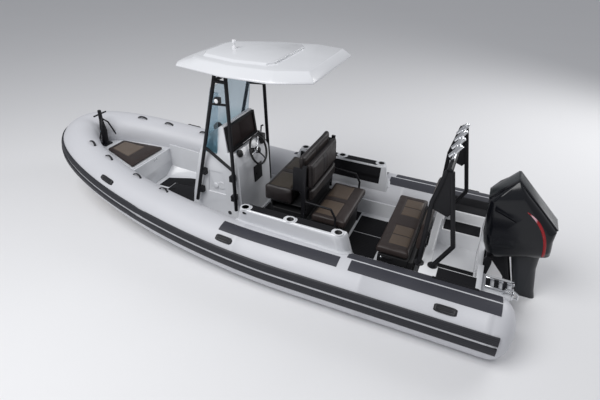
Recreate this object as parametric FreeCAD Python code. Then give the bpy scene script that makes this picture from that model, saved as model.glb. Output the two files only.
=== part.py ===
import FreeCAD, Part
import math
import os

os.makedirs("parts", exist_ok=True)

V = FreeCAD.Vector

# Rigid inflatable boat with a centre console.
# Axes: x forward from the transom face, y to port, z up from the still waterline.
# All lengths are in millimetres.

# buoyancy tubes
tube_radius = 308.0
tube_offset = 973.0
tube_height = 270.0
tube_tip_x = -370.0
tube_dome_length = 210.0
bow_centre_x = 5704.0
bow_radius = 242.0
curve_start_x = 2115.0
curve_lead_aft = 990.0
curve_lead_bow = 843.0
sheer_start_x = 1836.0
sheer_rate = 0.000032
seam_t = 0.45

# rub strake and stripes, angles above the horizontal on the tube's outboard side
strake_thick = 16.0
strake_upper_low = 12.5
strake_upper_high = 29.0
strake_lower_low = -9.0
strake_lower_high = 7.5
strake_end_x = -225.0
stripe_thick = 2.5
stripe_lift = 0.3
stripe_end_x = -195.0
stripe_gap_x = 1330.0
stripe_front_x = 2790.0
stripe_reach = 26.0

# hull
keel_z = -380.0
hull_skin = 24.0
bow_skin = 14.0
transom_thick = 60.0
transom_top_z = 500.0
transom_notch_z = 360.0
transom_notch_half = 300.0

# deck and liner
deck_z = 100.0
deck_thick = 30.0
liner_gap = 18.0
liner_aft_x = 620.0
locker_x = 4640.0
locker_top_z = 500.0
pad_thick = 6.0

# pods on the tubes
pod_aft_x = 1365.0
pod_front_x = 2700.0
pod_top_z = 790.0
pod_inner_y = 790.0
pod_outer_y = 932.0
pod_flange = 32.0
pod_flange_thick = 6.0
pod_fillet_thick = 15.0
cup_x0 = 1471.0
cup_step = 549.0
cup_y = 863.0
cup_radius = 41.0
cup_depth = 70.0
cup_rim_radius = 58.0

# console
console_aft_x = 2880.0
console_front_x = 3640.0
console_half = 390.0
console_wall = 22.0
hatch_width = 190.0
hatch_height = 220.0
hinge_radius = 7.0
hatch_centre_y = -60.0
hatch_centre_z = 600.0

# helm
wheel_x = 2860.0
wheel_z = 1062.0
wheel_radius = 178.0
wheel_rim = 14.0
wheel_shaft_radius = 12.0
running_clearance = 0.3

# roof and its frame
roof_aft_x = 1930.0
roof_z = 2200.0
roof_slope = 2.6
frame_radius = 22.0
leg_aft_x = 2940.0
leg_front_x = 3530.0
leg_foot_y = 468.0
leg_top_y = 425.0
leg_top_z = 2150.0

# double helm seat
seat_aft_x = 1520.0
seat_front_x = 2565.0
seat_half = 445.0
seat_base_half = 395.0

# aft bench and arch
bench_aft_x = 735.0
bench_front_x = 1125.0
bench_half = 610.0
arch_half = 600.0
arch_top_z = 1600.0
arch_radius = 24.0

# outboard
trim_deg = 17.0
tilt_x = -45.0
tilt_z = 435.0
steer_x = -200.0
plate_z = -440.0
prop_z = -675.0
prop_radius = 186.0
prop_x = -560.0
prop_blades = 4
cowl_shell_half = 112.0
tilt_pin_radius = 13.0
steer_shaft_radius = 23.0
prop_shaft_radius = 14.0


def box(x0, x1, y0, y1, z0, z1):
    return Part.makeBox(x1 - x0, y1 - y0, z1 - z0, V(x0, y0, z0))


def rod(a, b, radius):
    d = b.sub(a)
    return Part.makeCylinder(radius, d.Length, a, d)


def bent_rod(points, radius):
    shape = rod(points[0], points[1], radius)
    for i in range(1, len(points) - 1):
        shape = shape.fuse(rod(points[i], points[i + 1], radius))
        shape = shape.fuse(Part.makeSphere(radius, points[i]))
    return shape.removeSplitter()


def mirror(shape):
    return shape.mirror(V(0, 0, 0), V(0, 1, 0))


def both(shape):
    return shape.fuse(mirror(shape))


def prism_z(points, z0, z1):
    wire = Part.makePolygon([V(x, y, z0) for x, y in points] + [V(points[0][0], points[0][1], z0)])
    return Part.Face(wire).extrude(V(0, 0, z1 - z0))


def prism_y(points, y0, y1):
    wire = Part.makePolygon([V(x, y0, z) for x, z in points] + [V(points[0][0], y0, points[0][1])])
    return Part.Face(wire).extrude(V(0, y1 - y0, 0))


def prism_x(points, x0, x1):
    wire = Part.makePolygon([V(x0, y, z) for y, z in points] + [V(x0, points[0][0], points[0][1])])
    return Part.Face(wire).extrude(V(x1 - x0, 0, 0))


def polygon(points):
    return Part.makePolygon(points + [points[0]])


def outward_facing(shape):
    if shape.Volume < 0:
        shape.reverse()
    return shape


def loft(wires, ruled=False):
    return outward_facing(Part.makeLoft(wires, True, ruled))


def rounded_rect(cx, cy, hx, hy, r, z):
    r = min(r, hx - 1.0, hy - 1.0)
    k = r * (1.0 - math.sqrt(0.5))
    p = [
        V(cx + hx - r, cy - hy, z), V(cx + hx - k, cy - hy + k, z), V(cx + hx, cy - hy + r, z),
        V(cx + hx, cy + hy - r, z), V(cx + hx - k, cy + hy - k, z), V(cx + hx - r, cy + hy, z),
        V(cx - hx + r, cy + hy, z), V(cx - hx + k, cy + hy - k, z), V(cx - hx, cy + hy - r, z),
        V(cx - hx, cy - hy + r, z), V(cx - hx + k, cy - hy + k, z), V(cx - hx + r, cy - hy, z),
    ]
    edges = []
    for i in range(0, 12, 3):
        edges.append(Part.Arc(p[i], p[i + 1], p[i + 2]).toShape())
        edges.append(Part.makeLine(p[i + 2], p[(i + 3) % 12]))
    return Part.Wire(edges)


def rounded_outline(corners, z):
    edges = []
    joints = []
    count = len(corners)
    for i in range(count):
        x, y, r = corners[i]
        here = V(x, y, z)
        before = V(corners[i - 1][0], corners[i - 1][1], z).sub(here)
        after = V(corners[(i + 1) % count][0], corners[(i + 1) % count][1], z).sub(here)
        before.normalize()
        after.normalize()
        half = 0.5 * math.acos(max(-1.0, min(1.0, before.dot(after))))
        setback = r / math.tan(half)
        middle = before.add(after)
        middle.normalize()
        reach = r / math.sin(half) - r
        joints.append((here.add(before * setback), here.add(middle * reach), here.add(after * setback)))
    for i in range(count):
        start, mid, end = joints[i]
        edges.append(Part.Arc(start, mid, end).toShape())
        edges.append(Part.makeLine(end, joints[(i + 1) % count][0]))
    return Part.Wire(edges)


# tube path: straight aft, then a curve in plan that closes at the bow, with rising sheer
def sheer(x):
    return tube_height + sheer_rate * max(0.0, x - sheer_start_x) ** 2


def plan_curve(t):
    a = (curve_start_x, tube_offset)
    b = (curve_start_x + curve_lead_aft, tube_offset)
    c = (bow_centre_x, curve_lead_bow)
    d = (bow_centre_x, 0.0)
    u = 1.0 - t
    w = (u ** 3, 3 * u * u * t, 3 * u * t * t, t ** 3)
    x = w[0] * a[0] + w[1] * b[0] + w[2] * c[0] + w[3] * d[0]
    y = w[0] * a[1] + w[1] * b[1] + w[2] * c[1] + w[3] * d[1]
    return x, y


def path_point(t):
    x, y = plan_curve(t)
    return V(x, y, sheer(x))


def path_radius(x):
    s = min(1.0, max(0.0, (x - curve_start_x) / (bow_centre_x - curve_start_x)))
    return tube_radius + (bow_radius - tube_radius) * s


def path_frame(t):
    e = 0.002
    if t >= 1.0:
        tangent = V(0, -1, 0)
    elif t <= 0.0:
        slope = 2.0 * sheer_rate * (curve_start_x - sheer_start_x)
        tangent = V(1, 0, slope)
    else:
        tangent = path_point(min(1.0, t + e)).sub(path_point(t - e))
    tangent.normalize()
    outward = V(-tangent.y, tangent.x, 0)
    outward.normalize()
    up = tangent.cross(outward)
    return tangent, outward, up


def tube_station_at(x):
    lo = 0.0
    hi = 1.0
    for _ in range(40):
        mid = 0.5 * (lo + hi)
        if plan_curve(mid)[0] < x:
            lo = mid
        else:
            hi = mid
    return 0.5 * (lo + hi)


def tube_at(x):
    if x <= curve_start_x:
        return tube_offset, sheer(x), tube_radius
    t = tube_station_at(x)
    p = path_point(t)
    return p.y, p.z, path_radius(x)


def ring(t, grow=0.0):
    p = path_point(t)
    tangent, outward, up = path_frame(t)
    circle = Part.Circle(p, tangent, path_radius(p.x) + grow)
    circle.XAxis = outward
    return Part.Wire([circle.toShape()])


def side_ring(x, grow=0.0):
    slope = 2.0 * sheer_rate * max(0.0, x - sheer_start_x)
    tangent = V(1, 0, slope)
    tangent.normalize()
    circle = Part.Circle(V(x, tube_offset, sheer(x)), tangent, tube_radius + grow)
    circle.XAxis = V(0, 1, 0)
    return Part.Wire([circle.toShape()])


def dome(length, radius):
    top = V(0, 0, radius)
    tip = V(-length, 0, 0)
    spline = Part.BSplineCurve()
    points = []
    for k in range(9):
        a = math.radians(90.0 * k / 8.0)
        points.append(V(-length * math.sin(a) ** 0.92, 0, radius * math.cos(a) ** 0.92))
    points[0] = top
    points[-1] = tip
    spline.interpolate(points)
    edges = [spline.toShape(), Part.makeLine(tip, V(0, 0, 0)), Part.makeLine(V(0, 0, 0), top)]
    return Part.Face(Part.Wire(edges)).revolve(V(0, 0, 0), V(1, 0, 0), 360)


straight_aft_x = tube_tip_x + tube_dome_length
tube_body = Part.makeCylinder(tube_radius, sheer_start_x - straight_aft_x,
                              V(straight_aft_x, tube_offset, tube_height), V(1, 0, 0))
tube_cap = dome(tube_dome_length, tube_radius)
tube_cap.translate(V(straight_aft_x, tube_offset, tube_height))
side_rings = [side_ring(sheer_start_x), side_ring(0.5 * (sheer_start_x + curve_start_x))]
side_rings += [ring(seam_t * k / 5.0) for k in range(0, 6)]
tube_front = loft(side_rings)
tube_port = tube_body.fuse([tube_cap, tube_front]).removeSplitter()
tube_starboard = mirror(tube_port)
bow_half_rings = [ring(seam_t + (1.0 - seam_t) * k / 6.0) for k in range(0, 7)]
bow_half = loft(bow_half_rings)
tube_bow = bow_half.fuse(mirror(bow_half)).removeSplitter()
tubes = [tube_port, tube_starboard, tube_bow]


def clear_of(shape, others):
    for other in others:
        shape = shape.cut(other)
    return shape


def main_solids(shape, smallest):
    kept = [solid for solid in shape.Solids if solid.Volume > smallest]
    if len(kept) == 1:
        return kept[0]
    return Part.makeCompound(kept)


# rub strake: two bands that follow the outboard side from stern to stern
def band_section(p, outward, up, radius, low, high, thick):
    bite = 6.0
    mid = 0.5 * (low + high)
    corners = []
    for angle, r in ((low, radius - bite), (low, radius + 0.55 * thick), (low + 3.0, radius + thick),
                     (mid, radius + thick), (high - 3.0, radius + thick), (high, radius + 0.55 * thick),
                     (high, radius - bite)):
        a = math.radians(angle)
        ca = r * math.cos(a)
        sa = r * math.sin(a)
        corners.append(V(p.x + outward.x * ca + up.x * sa, p.y + outward.y * ca + up.y * sa,
                         p.z + outward.z * ca + up.z * sa))
    return polygon(corners)


def strake_band(low, high, thick):
    aft = band_section(V(strake_end_x, tube_offset, tube_height), V(0, 1, 0), V(0, 0, 1), tube_radius, low, high,
                       thick)
    wires = [aft]
    for x in (sheer_start_x, 0.5 * (sheer_start_x + curve_start_x)):
        slope = 2.0 * sheer_rate * max(0.0, x - sheer_start_x)
        tangent = V(1, 0, slope)
        tangent.normalize()
        up = tangent.cross(V(0, 1, 0))
        wires.append(band_section(V(x, tube_offset, sheer(x)), V(0, 1, 0), up, tube_radius, low, high, thick))
    for k in range(0, 11):
        t = k / 10.0
        p = path_point(t)
        tangent, outward, up = path_frame(t)
        wires.append(band_section(p, outward, up, path_radius(p.x), low, high, thick))
    aft_part = loft(wires[:2], True)
    return aft_part.fuse(loft(wires[1:]))


upper_band = strake_band(strake_upper_low, strake_upper_high, strake_thick)
lower_band = strake_band(strake_lower_low, strake_lower_high, strake_thick)
strake_port = clear_of(upper_band.fuse(lower_band), tubes)
rub_strake = strake_port.fuse(mirror(strake_port))


# stripes: thin wear strips on the top of each tube
def stripe(x0, x1, low, high):
    outer = Part.makeCylinder(tube_radius + stripe_thick, x1 - x0, V(x0, 0, 0), V(1, 0, 0))
    inner = Part.makeCylinder(tube_radius + stripe_lift, x1 - x0, V(x0, 0, 0), V(1, 0, 0))
    a0 = math.radians(low)
    a1 = math.radians(high)
    reach = 2.0 * tube_radius
    wedge = prism_x([(0, 0), (reach * math.sin(a0), reach * math.cos(a0)),
                     (reach * math.sin(a1), reach * math.cos(a1))], x0, x1)
    strip = outer.cut(inner).common(wedge)
    strip.translate(V(0, tube_offset, tube_height))
    return strip


def tube_sleeve(grow):
    x_ahead = 0.5 * (sheer_start_x + curve_start_x)
    rings = [side_ring(sheer_start_x, grow), side_ring(x_ahead, grow)]
    rings += [ring(seam_t * k / 5.0, grow) for k in range(0, 6)]
    straight = Part.makeCylinder(tube_radius + grow, 600.0, V(sheer_start_x - 600.0, tube_offset, tube_height),
                                 V(1, 0, 0))
    return straight.fuse(loft(rings)).removeSplitter()


def curved_stripe(x0, x1, width):
    inner_edge = []
    outer_edge = []
    for k in range(9):
        x = x0 + (x1 - x0) * k / 8.0
        y, z, r = tube_at(x)
        outward = V(0, 1, 0)
        if x > curve_start_x:
            outward = path_frame(tube_station_at(x))[1]
        inner_edge.append((x, y))
        outer_edge.append((x + outward.x * width, y + outward.y * width))
    region = prism_z(inner_edge + outer_edge[::-1], tube_height + 100.0, 900.0)
    return tube_sleeve(stripe_lift + stripe_thick).cut(tube_sleeve(stripe_lift)).common(region)


stripe_width = tube_radius * math.sin(math.radians(stripe_reach))
stripes = stripe(stripe_end_x, stripe_gap_x, -31.0, -4.0)
stripes = stripes.fuse(stripe(stripe_end_x, stripe_gap_x - 60.0, 0.0, stripe_reach))
stripes = stripes.fuse(curved_stripe(stripe_gap_x + 60.0, stripe_front_x, stripe_width))
tube_stripes = both(stripes)


# hull bottom: deep V shell whose upper edge cradles the tubes
def keel_height(x):
    s = max(0.0, x - 2900.0) / 2750.0
    return keel_z + (720.0 * s ** 2.4)


def hull_wire(x, inset=0.0, top=None):
    y, z, r = tube_at(x)
    chine_y = y - 0.42 * r - inset
    chine_z = z - 0.93 * r + 0.4 * inset
    top_z = z + 0.1 * r if top is None else top
    pts = [V(x, 0, keel_height(x) + 1.25 * inset), V(x, chine_y, chine_z), V(x, chine_y, top_z),
           V(x, -chine_y, top_z), V(x, -chine_y, chine_z)]
    return polygon(pts)


hull_stations = [transom_thick, 1400.0, 2900.0, 3500.0, 4000.0, 4400.0, 4750.0, 5050.0, 5300.0, 5480.0, 5600.0]
hull_outer = loft([hull_wire(x) for x in hull_stations], True)
hull_inner = loft([hull_wire(x, hull_skin, 1500.0) for x in hull_stations], True)
hull_bottom = clear_of(hull_outer.cut(hull_inner), tubes)
spray_rails = []
for rail_y in (260.0, 520.0):
    rail_z = keel_z + rail_y * (tube_height - 0.93 * tube_radius - keel_z) / (tube_offset - 0.42 * tube_radius)
    rail = prism_x([(rail_y - 22, rail_z - 4), (rail_y + 22, rail_z - 14), (rail_y + 26, rail_z + 18),
                    (rail_y - 22, rail_z + 2)], transom_thick, 2900.0)
    spray_rails.append(rail)
    spray_rails.append(mirror(rail))
hull_bottom = hull_bottom.fuse(spray_rails)
hull_bottom = clear_of(hull_bottom.cut(hull_inner), tubes)

# transom
transom_y, transom_zc, transom_r = tube_at(0.0)
transom_chine_y = transom_y - 0.42 * transom_r
transom_chine_z = transom_zc - 0.93 * transom_r
transom = prism_x([(0, keel_z), (transom_chine_y, transom_chine_z), (transom_chine_y, transom_top_z),
                   (-transom_chine_y, transom_top_z), (-transom_chine_y, transom_chine_z)], 0, transom_thick)
notch = prism_x([(transom_notch_half, transom_notch_z), (transom_notch_half + 60, transom_top_z + 10),
                 (-transom_notch_half - 60, transom_top_z + 10), (-transom_notch_half, transom_notch_z)],
                -10, transom_thick + 10)
transom = transom.cut(notch)
step_port = box(-290, 0, 400, 680, 392, 430)
step_port = step_port.fuse(prism_y([(0, 250), (0, 392), (-240, 392)], 520, 550))
transom = clear_of(transom.fuse(both(step_port)), tubes)

# splashwell and side decks between the transom and the cockpit
side_y = tube_offset - 0.5 * tube_radius
well_block = box(transom_thick, liner_aft_x, -side_y, side_y, deck_z - deck_thick, transom_top_z)
well_cavity = box(transom_thick - 1, 540, -330, 330, 150, 900)
step_cavity = box(transom_thick - 1, 520, 330, 585, 360, 900)
splashwell = well_block.cut([well_cavity, step_cavity, mirror(step_cavity)])
splashwell = clear_of(splashwell.common(hull_inner), tubes)
notch_well = prism_x([(transom_notch_half, transom_notch_z), (transom_notch_half + 60, transom_top_z + 10),
                      (-transom_notch_half - 60, transom_top_z + 10), (-transom_notch_half, transom_notch_z)],
                     transom_thick - 1, 120)
splashwell = main_solids(splashwell.cut(notch_well), 1e6)

# cockpit liner: floor with side walls that rise to the tubes
liner_stations = [liner_aft_x, 1100.0, 1700.0, 2300.0, 2900.0, 3400.0, 3800.0, 4150.0, 4450.0, locker_x]


def wall_y(x):
    y, z, r = tube_at(x)
    return y - r - liner_gap


def outer_y(x):
    y, z, r = tube_at(x)
    return y - 0.45 * r


liner_outline = [(x, outer_y(x)) for x in liner_stations]
liner_outline += [(x, -outer_y(x)) for x in liner_stations[::-1]]
cockpit_outline = [(x, wall_y(x)) for x in liner_stations]
cockpit_outline += [(x, -wall_y(x)) for x in liner_stations[::-1]]
rim_profile = [(x, sheer(x) + 40.0) for x in liner_stations]
rim_cut = prism_y([(liner_aft_x - 10, 1500)] + [(liner_aft_x - 10, rim_profile[0][1])] + rim_profile
                  + [(locker_x + 10, rim_profile[-1][1]), (locker_x + 10, 1500)], -1500, 1500)
deck_liner = prism_z(liner_outline, deck_z - deck_thick, 1200)
deck_liner = deck_liner.cut(prism_z(cockpit_outline, deck_z, 1300))
deck_liner = deck_liner.cut(rim_cut).common(hull_inner)
hull_lined = loft([hull_wire(x, hull_skin + bow_skin, 1500.0) for x in hull_stations], True)
bow_lining = hull_inner.cut(hull_lined).common(box(3300, locker_x, -900, 900, deck_z - deck_thick, 330))
deck_liner = deck_liner.fuse(bow_lining)
deck_liner = main_solids(clear_of(deck_liner, tubes), 1e6)

# fore locker with an open well under its lid
locker_stations = [locker_x, 4850.0, 5050.0, 5250.0, 5420.0, 5540.0]
locker_outline = [(x, outer_y(x)) for x in locker_stations]
locker_outline += [(x, -outer_y(x)) for x in locker_stations[::-1]]
locker_slope = math.tan(math.radians(6.5))
locker_roof = prism_y([(locker_x - 5, locker_top_z), (5600, locker_top_z + 965 * locker_slope), (5600, 1500),
                       (locker_x - 5, 1500)], -1500, 1500)
bow_locker = prism_z(locker_outline, deck_z, 900).cut(locker_roof)
locker_well = prism_z([(locker_x + 70, 300), (5230, 150), (5230, -150), (locker_x + 70, -300)], deck_z + 40, 1200)
bow_locker = bow_locker.cut(locker_well).common(hull_inner)
bow_locker = main_solids(clear_of(bow_locker, tubes), 1e6)
hull_bottom = main_solids(clear_of(hull_bottom, [bow_locker, deck_liner, splashwell]), 1e6)

bow_lid = prism_z([(locker_x + 20, 335), (5270, 165), (5270, -165), (locker_x + 20, -335)], 0, 14)
lid_lift = locker_top_z + 25 * locker_slope + 0.3
bow_lid = bow_lid.fuse(Part.makeCylinder(hinge_radius, 200, V(5272, -100, hinge_radius), V(0, 1, 0)))
bow_lid.rotate(V(locker_x + 20, 0, 0), V(0, 1, 0), -6.5)
bow_lid.translate(V(0, 0, lid_lift))
bow_cushion = loft([polygon([V(locker_x + 28, 328, 0), V(5262, 160, 0), V(5262, -160, 0), V(locker_x + 28, -328, 0)]),
                    polygon([V(locker_x + 36, 324, 52), V(5256, 156, 52), V(5256, -156, 52),
                             V(locker_x + 36, -324, 52)])], True)
bow_cushion = bow_cushion.makeFillet(10, bow_cushion.Edges)
bow_cushion.translate(V(0, 0, 14.3))
bow_cushion.rotate(V(locker_x + 20, 0, 0), V(0, 1, 0), -6.5)
bow_cushion.translate(V(0, 0, lid_lift))

# samson post: blade-shaped bollard with cross bar and brace
post_x = 5440.0
post_base_z = locker_top_z + (post_x - locker_x) * locker_slope
post = loft([rounded_rect(post_x, 0, 42, 26, 18, post_base_z + 8), rounded_rect(post_x, 0, 52, 34, 22, 800),
             rounded_rect(post_x, 0, 26, 24, 16, 960), rounded_rect(post_x, 0, 22, 22, 14, 1115)], True)
post_foot = box(post_x - 60, post_x + 60, -70, 70, post_base_z - 20, post_base_z + 14)
cross_bar = Part.makeCylinder(11, 230, V(post_x, -115, 1060), V(0, 1, 0))
brace = bent_rod([V(post_x - 15, 0, 1000), V(post_x - 60, 60, 930), V(post_x - 60, 190, 640)], 11)
brace = brace.fuse(bent_rod([V(post_x - 15, 0, 1000), V(post_x - 60, -60, 930), V(post_x - 60, -190, 640)], 11))
samson_post = post.fuse([post_foot, cross_bar, brace])
samson_post = clear_of(samson_post, [bow_locker] + tubes)


# pods: raised boxes on the tubes with rounded after corners, a foot flange and cup holders
pod_seat_z = 560.0


def pod_outline(z, grow):
    up = (z - pod_seat_z) / (pod_top_z - pod_seat_z)
    aft = pod_aft_x - 25.0 + 53.0 * up - grow
    front = pod_front_x + 20.0 - 93.0 * up + grow
    inner = pod_inner_y - 45.0 * (1.0 - up) - grow
    aft_outer = pod_outer_y - 27.0 * (1.0 - up) + grow
    front_outer = pod_outer_y - 14.0 - 94.0 * (1.0 - up) + grow
    return [(aft, inner, 22.0 + grow), (front, inner, 22.0 + grow), (front, front_outer, 48.0 + grow),
            (aft, aft_outer, 105.0 + grow)]


def pod_skirt(grow, thick):
    corners = [(x, y) for x, y, r in pod_outline(pod_seat_z, grow)]
    wire = rounded_outline(pod_outline(pod_seat_z, grow), 420.0)
    column = Part.Face(wire).extrude(V(0, 0, 300.0))
    above = box(corners[0][0], corners[1][0], pod_inner_y - 20.0, 1200.0, 480.0, 720.0)
    return tube_sleeve(thick).common(column).common(above)


def make_pod():
    levels = [(430.0, 0.0), (pod_top_z - 22.0, 0.0), (pod_top_z - 7.0, -6.0), (pod_top_z, -20.0)]
    body = loft([rounded_outline(pod_outline(z, grow), z) for z, grow in levels], True)
    body = body.fuse([pod_skirt(pod_flange, pod_flange_thick), pod_skirt(0.5 * pod_flange, pod_fillet_thick)])
    for i in range(3):
        centre = V(cup_x0 + i * cup_step, cup_y, pod_top_z)
        body = body.fuse(Part.makeCylinder(cup_rim_radius, 8, centre.sub(V(0, 0, 2)), V(0, 0, 1)))
    for i in range(3):
        hole = Part.makeCylinder(cup_radius, cup_depth + 10, V(cup_x0 + i * cup_step, cup_y, pod_top_z - cup_depth),
                                 V(0, 0, 1))
        body = body.cut(hole)
    return body


pod_port = main_solids(clear_of(make_pod(), tubes + [deck_liner]), 1e6)
pod_starboard = mirror(pod_port)
tube_stripes = clear_of(tube_stripes, [pod_port, pod_starboard])

# console: moulded box, hollow, with an instrument hood
console_profile = [(console_aft_x, deck_z), (console_front_x + 20, deck_z), (console_front_x - 30, 480),
                   (3470, 1090), (3380, 1290), (3180, 1440), (3135, 1440), (3085, 1120), (3010, 1110), (2925, 960),
                   (2905, 560)]
console_side = [(console_half + 8, deck_z), (console_half, 980), (console_half - 30, 1130), (345, 1440), (-345, 1440),
                (-console_half + 30, 1130), (-console_half, 980), (-console_half - 8, deck_z)]
console_inner_profile = [(console_aft_x + console_wall, deck_z - 1), (console_front_x - 5, deck_z - 1),
                         (console_front_x - 55, 480), (3445, 1050), (3060, 1050), (2990, 990), (2950, 940),
                         (2905 + console_wall, 560)]
console_inner_side = [(console_half - console_wall, deck_z - 1), (console_half - console_wall, 1080),
                      (-console_half + console_wall, 1080), (-console_half + console_wall, deck_z - 1)]
console = prism_y(console_profile, -600, 600).common(prism_x(console_side, 2500, 4000))
console_cavity = prism_y(console_inner_profile, -600, 600).common(prism_x(console_inner_side, 2500, 4000))
console = console.cut(console_cavity)
hatch_y0 = hatch_centre_y - 0.5 * hatch_width
hatch_y1 = hatch_centre_y + 0.5 * hatch_width
hatch_z0 = hatch_centre_z
hatch_z1 = hatch_centre_z + hatch_height
console = console.cut(box(2860, 3000, hatch_y0 + 12, hatch_y1 - 12, hatch_z0 + 12, hatch_z1 - 12))
recess = loft([polygon([V(3130, 450, 520), V(3400, 450, 520), V(3370, 450, 860), V(3170, 450, 860)]),
               polygon([V(3130, 382, 540), V(3380, 382, 540), V(3350, 382, 840), V(3170, 382, 840)])], True)
console = console.cut(recess)
bezel = Part.makeCylinder(34, 16, V(3270, 380, 640), V(0, 1, 0))
console = console.fuse(bezel)
console_skirt = box(console_aft_x - 16, console_front_x + 34, -console_half - 24, console_half + 24, deck_z,
                    deck_z + 46)
upper_edges = [edge for edge in console_skirt.Edges if edge.BoundBox.ZMin > deck_z + 40]
console_skirt = console_skirt.makeChamfer(12, upper_edges)
skirt_hole = box(console_aft_x + 20, console_front_x - 4, -console_half + 20, console_half - 20, 0, 400)
console = console.fuse(console_skirt.cut(skirt_hole))

# hatch door on the console's after face
face_slope = math.degrees(math.atan2(2925.0 - 2905.0, 960.0 - 560.0))
door_x = 2905 + 20.0 * (hatch_centre_z - 560) / 400.0
console_hatch = box(-14, -0.4, hatch_y0, hatch_y1, 0, hatch_height)
console_hatch = console_hatch.makeFillet(4, console_hatch.Edges)
door_knob = Part.makeCylinder(14, 12, V(-12, hatch_y1 - 40, 0.5 * hatch_height), V(-1, 0, 0))
door_barrel = Part.makeCylinder(hinge_radius, hatch_height, V(-hinge_radius - 0.2, hatch_y0, 0), V(0, 0, 1))
console_hatch = console_hatch.fuse([door_knob, door_barrel])
console_hatch.rotate(V(0, 0, 0), V(0, 1, 0), face_slope)
console_hatch.translate(V(door_x, 0, hatch_z0))

# instrument panel under the hood
panel_lean = math.degrees(math.atan2(3135.0 - 3085.0, 1440.0 - 1120.0))
instrument_panel = box(-34, -1, -338, 338, 6, 312)
instrument_panel = instrument_panel.cut(box(-40, -22, -300, 300, 40, 290))
instrument_panel = instrument_panel.fuse(box(-70, -34, -338, 338, 6, 30))
screen_block = box(-24, -14, -280, 40, 60, 270)
instrument_panel = instrument_panel.fuse(screen_block)
instrument_panel.rotate(V(0, 0, 0), V(0, 1, 0), panel_lean)
instrument_panel.translate(V(3085, 0, 1120))
instrument_panel = instrument_panel.cut(console)


# windshield: one wrapped sheet around the hood
def shield_wire(x_front, x_back, half, corner, thick, z):
    outer = [(x_back, half), (x_front - corner, half), (x_front, half - corner), (x_front, -half + corner),
             (x_front - corner, -half), (x_back, -half)]
    h = half - thick
    c = corner * 0.95
    xf = x_front - thick
    inner = [(x_back, h), (xf - c, h), (xf, h - c), (xf, -h + c), (xf - c, -h), (x_back, -h)]
    pts = outer + inner[::-1]
    return polygon([V(x, y, z) for x, y in pts])


windshield = loft([shield_wire(3510, 3230, 372, 120, 6, 1085), shield_wire(3330, 3150, 372, 110, 6, 1860)], True)
windshield = windshield.cut(console)

# helm controls: wheel hub mount, throttle box with lever, compass, horn
controls = []
hub_base = V(2990, 0, 1012)
wheel_centre = V(wheel_x, 0, wheel_z)
shaft_dir = wheel_centre.sub(hub_base)
shaft_dir.normalize()
cone_start = V(hub_base.x - 30 * shaft_dir.x, 0, hub_base.z - 30 * shaft_dir.z)
controls.append(Part.makeCone(56, 30, 110, cone_start, shaft_dir))
controls.append(Part.makeCylinder(wheel_shaft_radius, 150, cone_start, shaft_dir))
throttle_base = box(2930, 3050, -330, -240, 1020, 1150)
throttle_base = throttle_base.makeFillet(12, throttle_base.Edges)
throttle_lever = bent_rod([V(2985, -300, 1130), V(2975, -300, 1250), V(2930, -260, 1280)], 10)
controls.append(throttle_base)
controls.append(throttle_lever)
compass = Part.makeCylinder(58, 34, V(3330, 150, 1315), V(0, 0, 1))
compass_dome = Part.makeSphere(46, V(3330, 150, 1349))
controls.append(compass)
controls.append(compass_dome)
horn = Part.makeCylinder(46, 34, V(3001, 245, 1080), V(-1, 0, 0.4))
controls.append(horn)
helm_controls = controls[0].fuse(controls[1:])
helm_controls = clear_of(helm_controls, [console, instrument_panel])

# steering wheel about its own axis, then set in place
rim_torus = Part.makeTorus(wheel_radius, wheel_rim, V(0, 0, 0), V(0, 0, 1))
hub = Part.makeCylinder(42, 34, V(0, 0, -30), V(0, 0, 1))
helm_wheel = rim_torus.fuse(hub)
for k in range(3):
    a = math.radians(90 + 120 * k)
    spoke = rod(V(30 * math.cos(a), 30 * math.sin(a), -14), V(wheel_radius * math.cos(a), wheel_radius * math.sin(a),
                                                             0), 9)
    helm_wheel = helm_wheel.fuse(spoke)
helm_wheel = helm_wheel.removeSplitter()
helm_wheel = helm_wheel.cut(Part.makeCylinder(wheel_shaft_radius + running_clearance, 35, V(0, 0, -31), V(0, 0, 1)))
turn_axis = V(0, 0, 1).cross(shaft_dir)
turn_angle = math.degrees(math.acos(shaft_dir.z))
helm_wheel.rotate(V(0, 0, 0), turn_axis, turn_angle)
helm_wheel.translate(wheel_centre)

# roof frame: four legs clamped to the console, cross bars and console rails
leg_foot_z = 400.0


def leg_aft_at(z):
    s = (z - leg_foot_z) / (leg_top_z - leg_foot_z)
    return V(leg_aft_x + 72.0 * s, leg_foot_y + (leg_top_y - leg_foot_y) * s, z)


def leg_front_at(z):
    s = (z - leg_foot_z) / (leg_top_z - leg_foot_z)
    return V(leg_front_x - 398.0 * s, leg_foot_y - 22.0 + (leg_top_y - leg_foot_y + 22.0) * s, z)


frame = rod(leg_aft_at(leg_foot_z), leg_aft_at(leg_top_z), frame_radius)
frame = frame.fuse(rod(leg_front_at(leg_foot_z), leg_front_at(leg_top_z), frame_radius))
frame = frame.fuse(rod(leg_front_at(1180), leg_aft_at(950), frame_radius - 3))
frame = frame.fuse(rod(leg_front_at(2010), leg_aft_at(2010), frame_radius - 3))
frame = frame.fuse(rod(leg_front_at(1740), leg_aft_at(1760), 14))
for z in (560.0, 830.0):
    p = leg_aft_at(z)
    q = leg_front_at(z)
    frame = frame.fuse(box(p.x + 8, p.x + 62, console_half - 20, p.y + 8, z - 38, z + 38))
    frame = frame.fuse(box(q.x - 62, q.x - 8, console_half - 20, q.y + 8, z - 38, z + 38))
roof_frame = both(frame)
cross_aft = leg_aft_at(2070)
cross_front = leg_front_at(2010)
roof_frame = roof_frame.fuse(rod(V(cross_front.x, -cross_front.y, cross_front.z), cross_front, frame_radius - 2))
roof_frame = roof_frame.fuse(rod(V(cross_aft.x, -cross_aft.y, cross_aft.z), cross_aft, frame_radius - 2))


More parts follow.
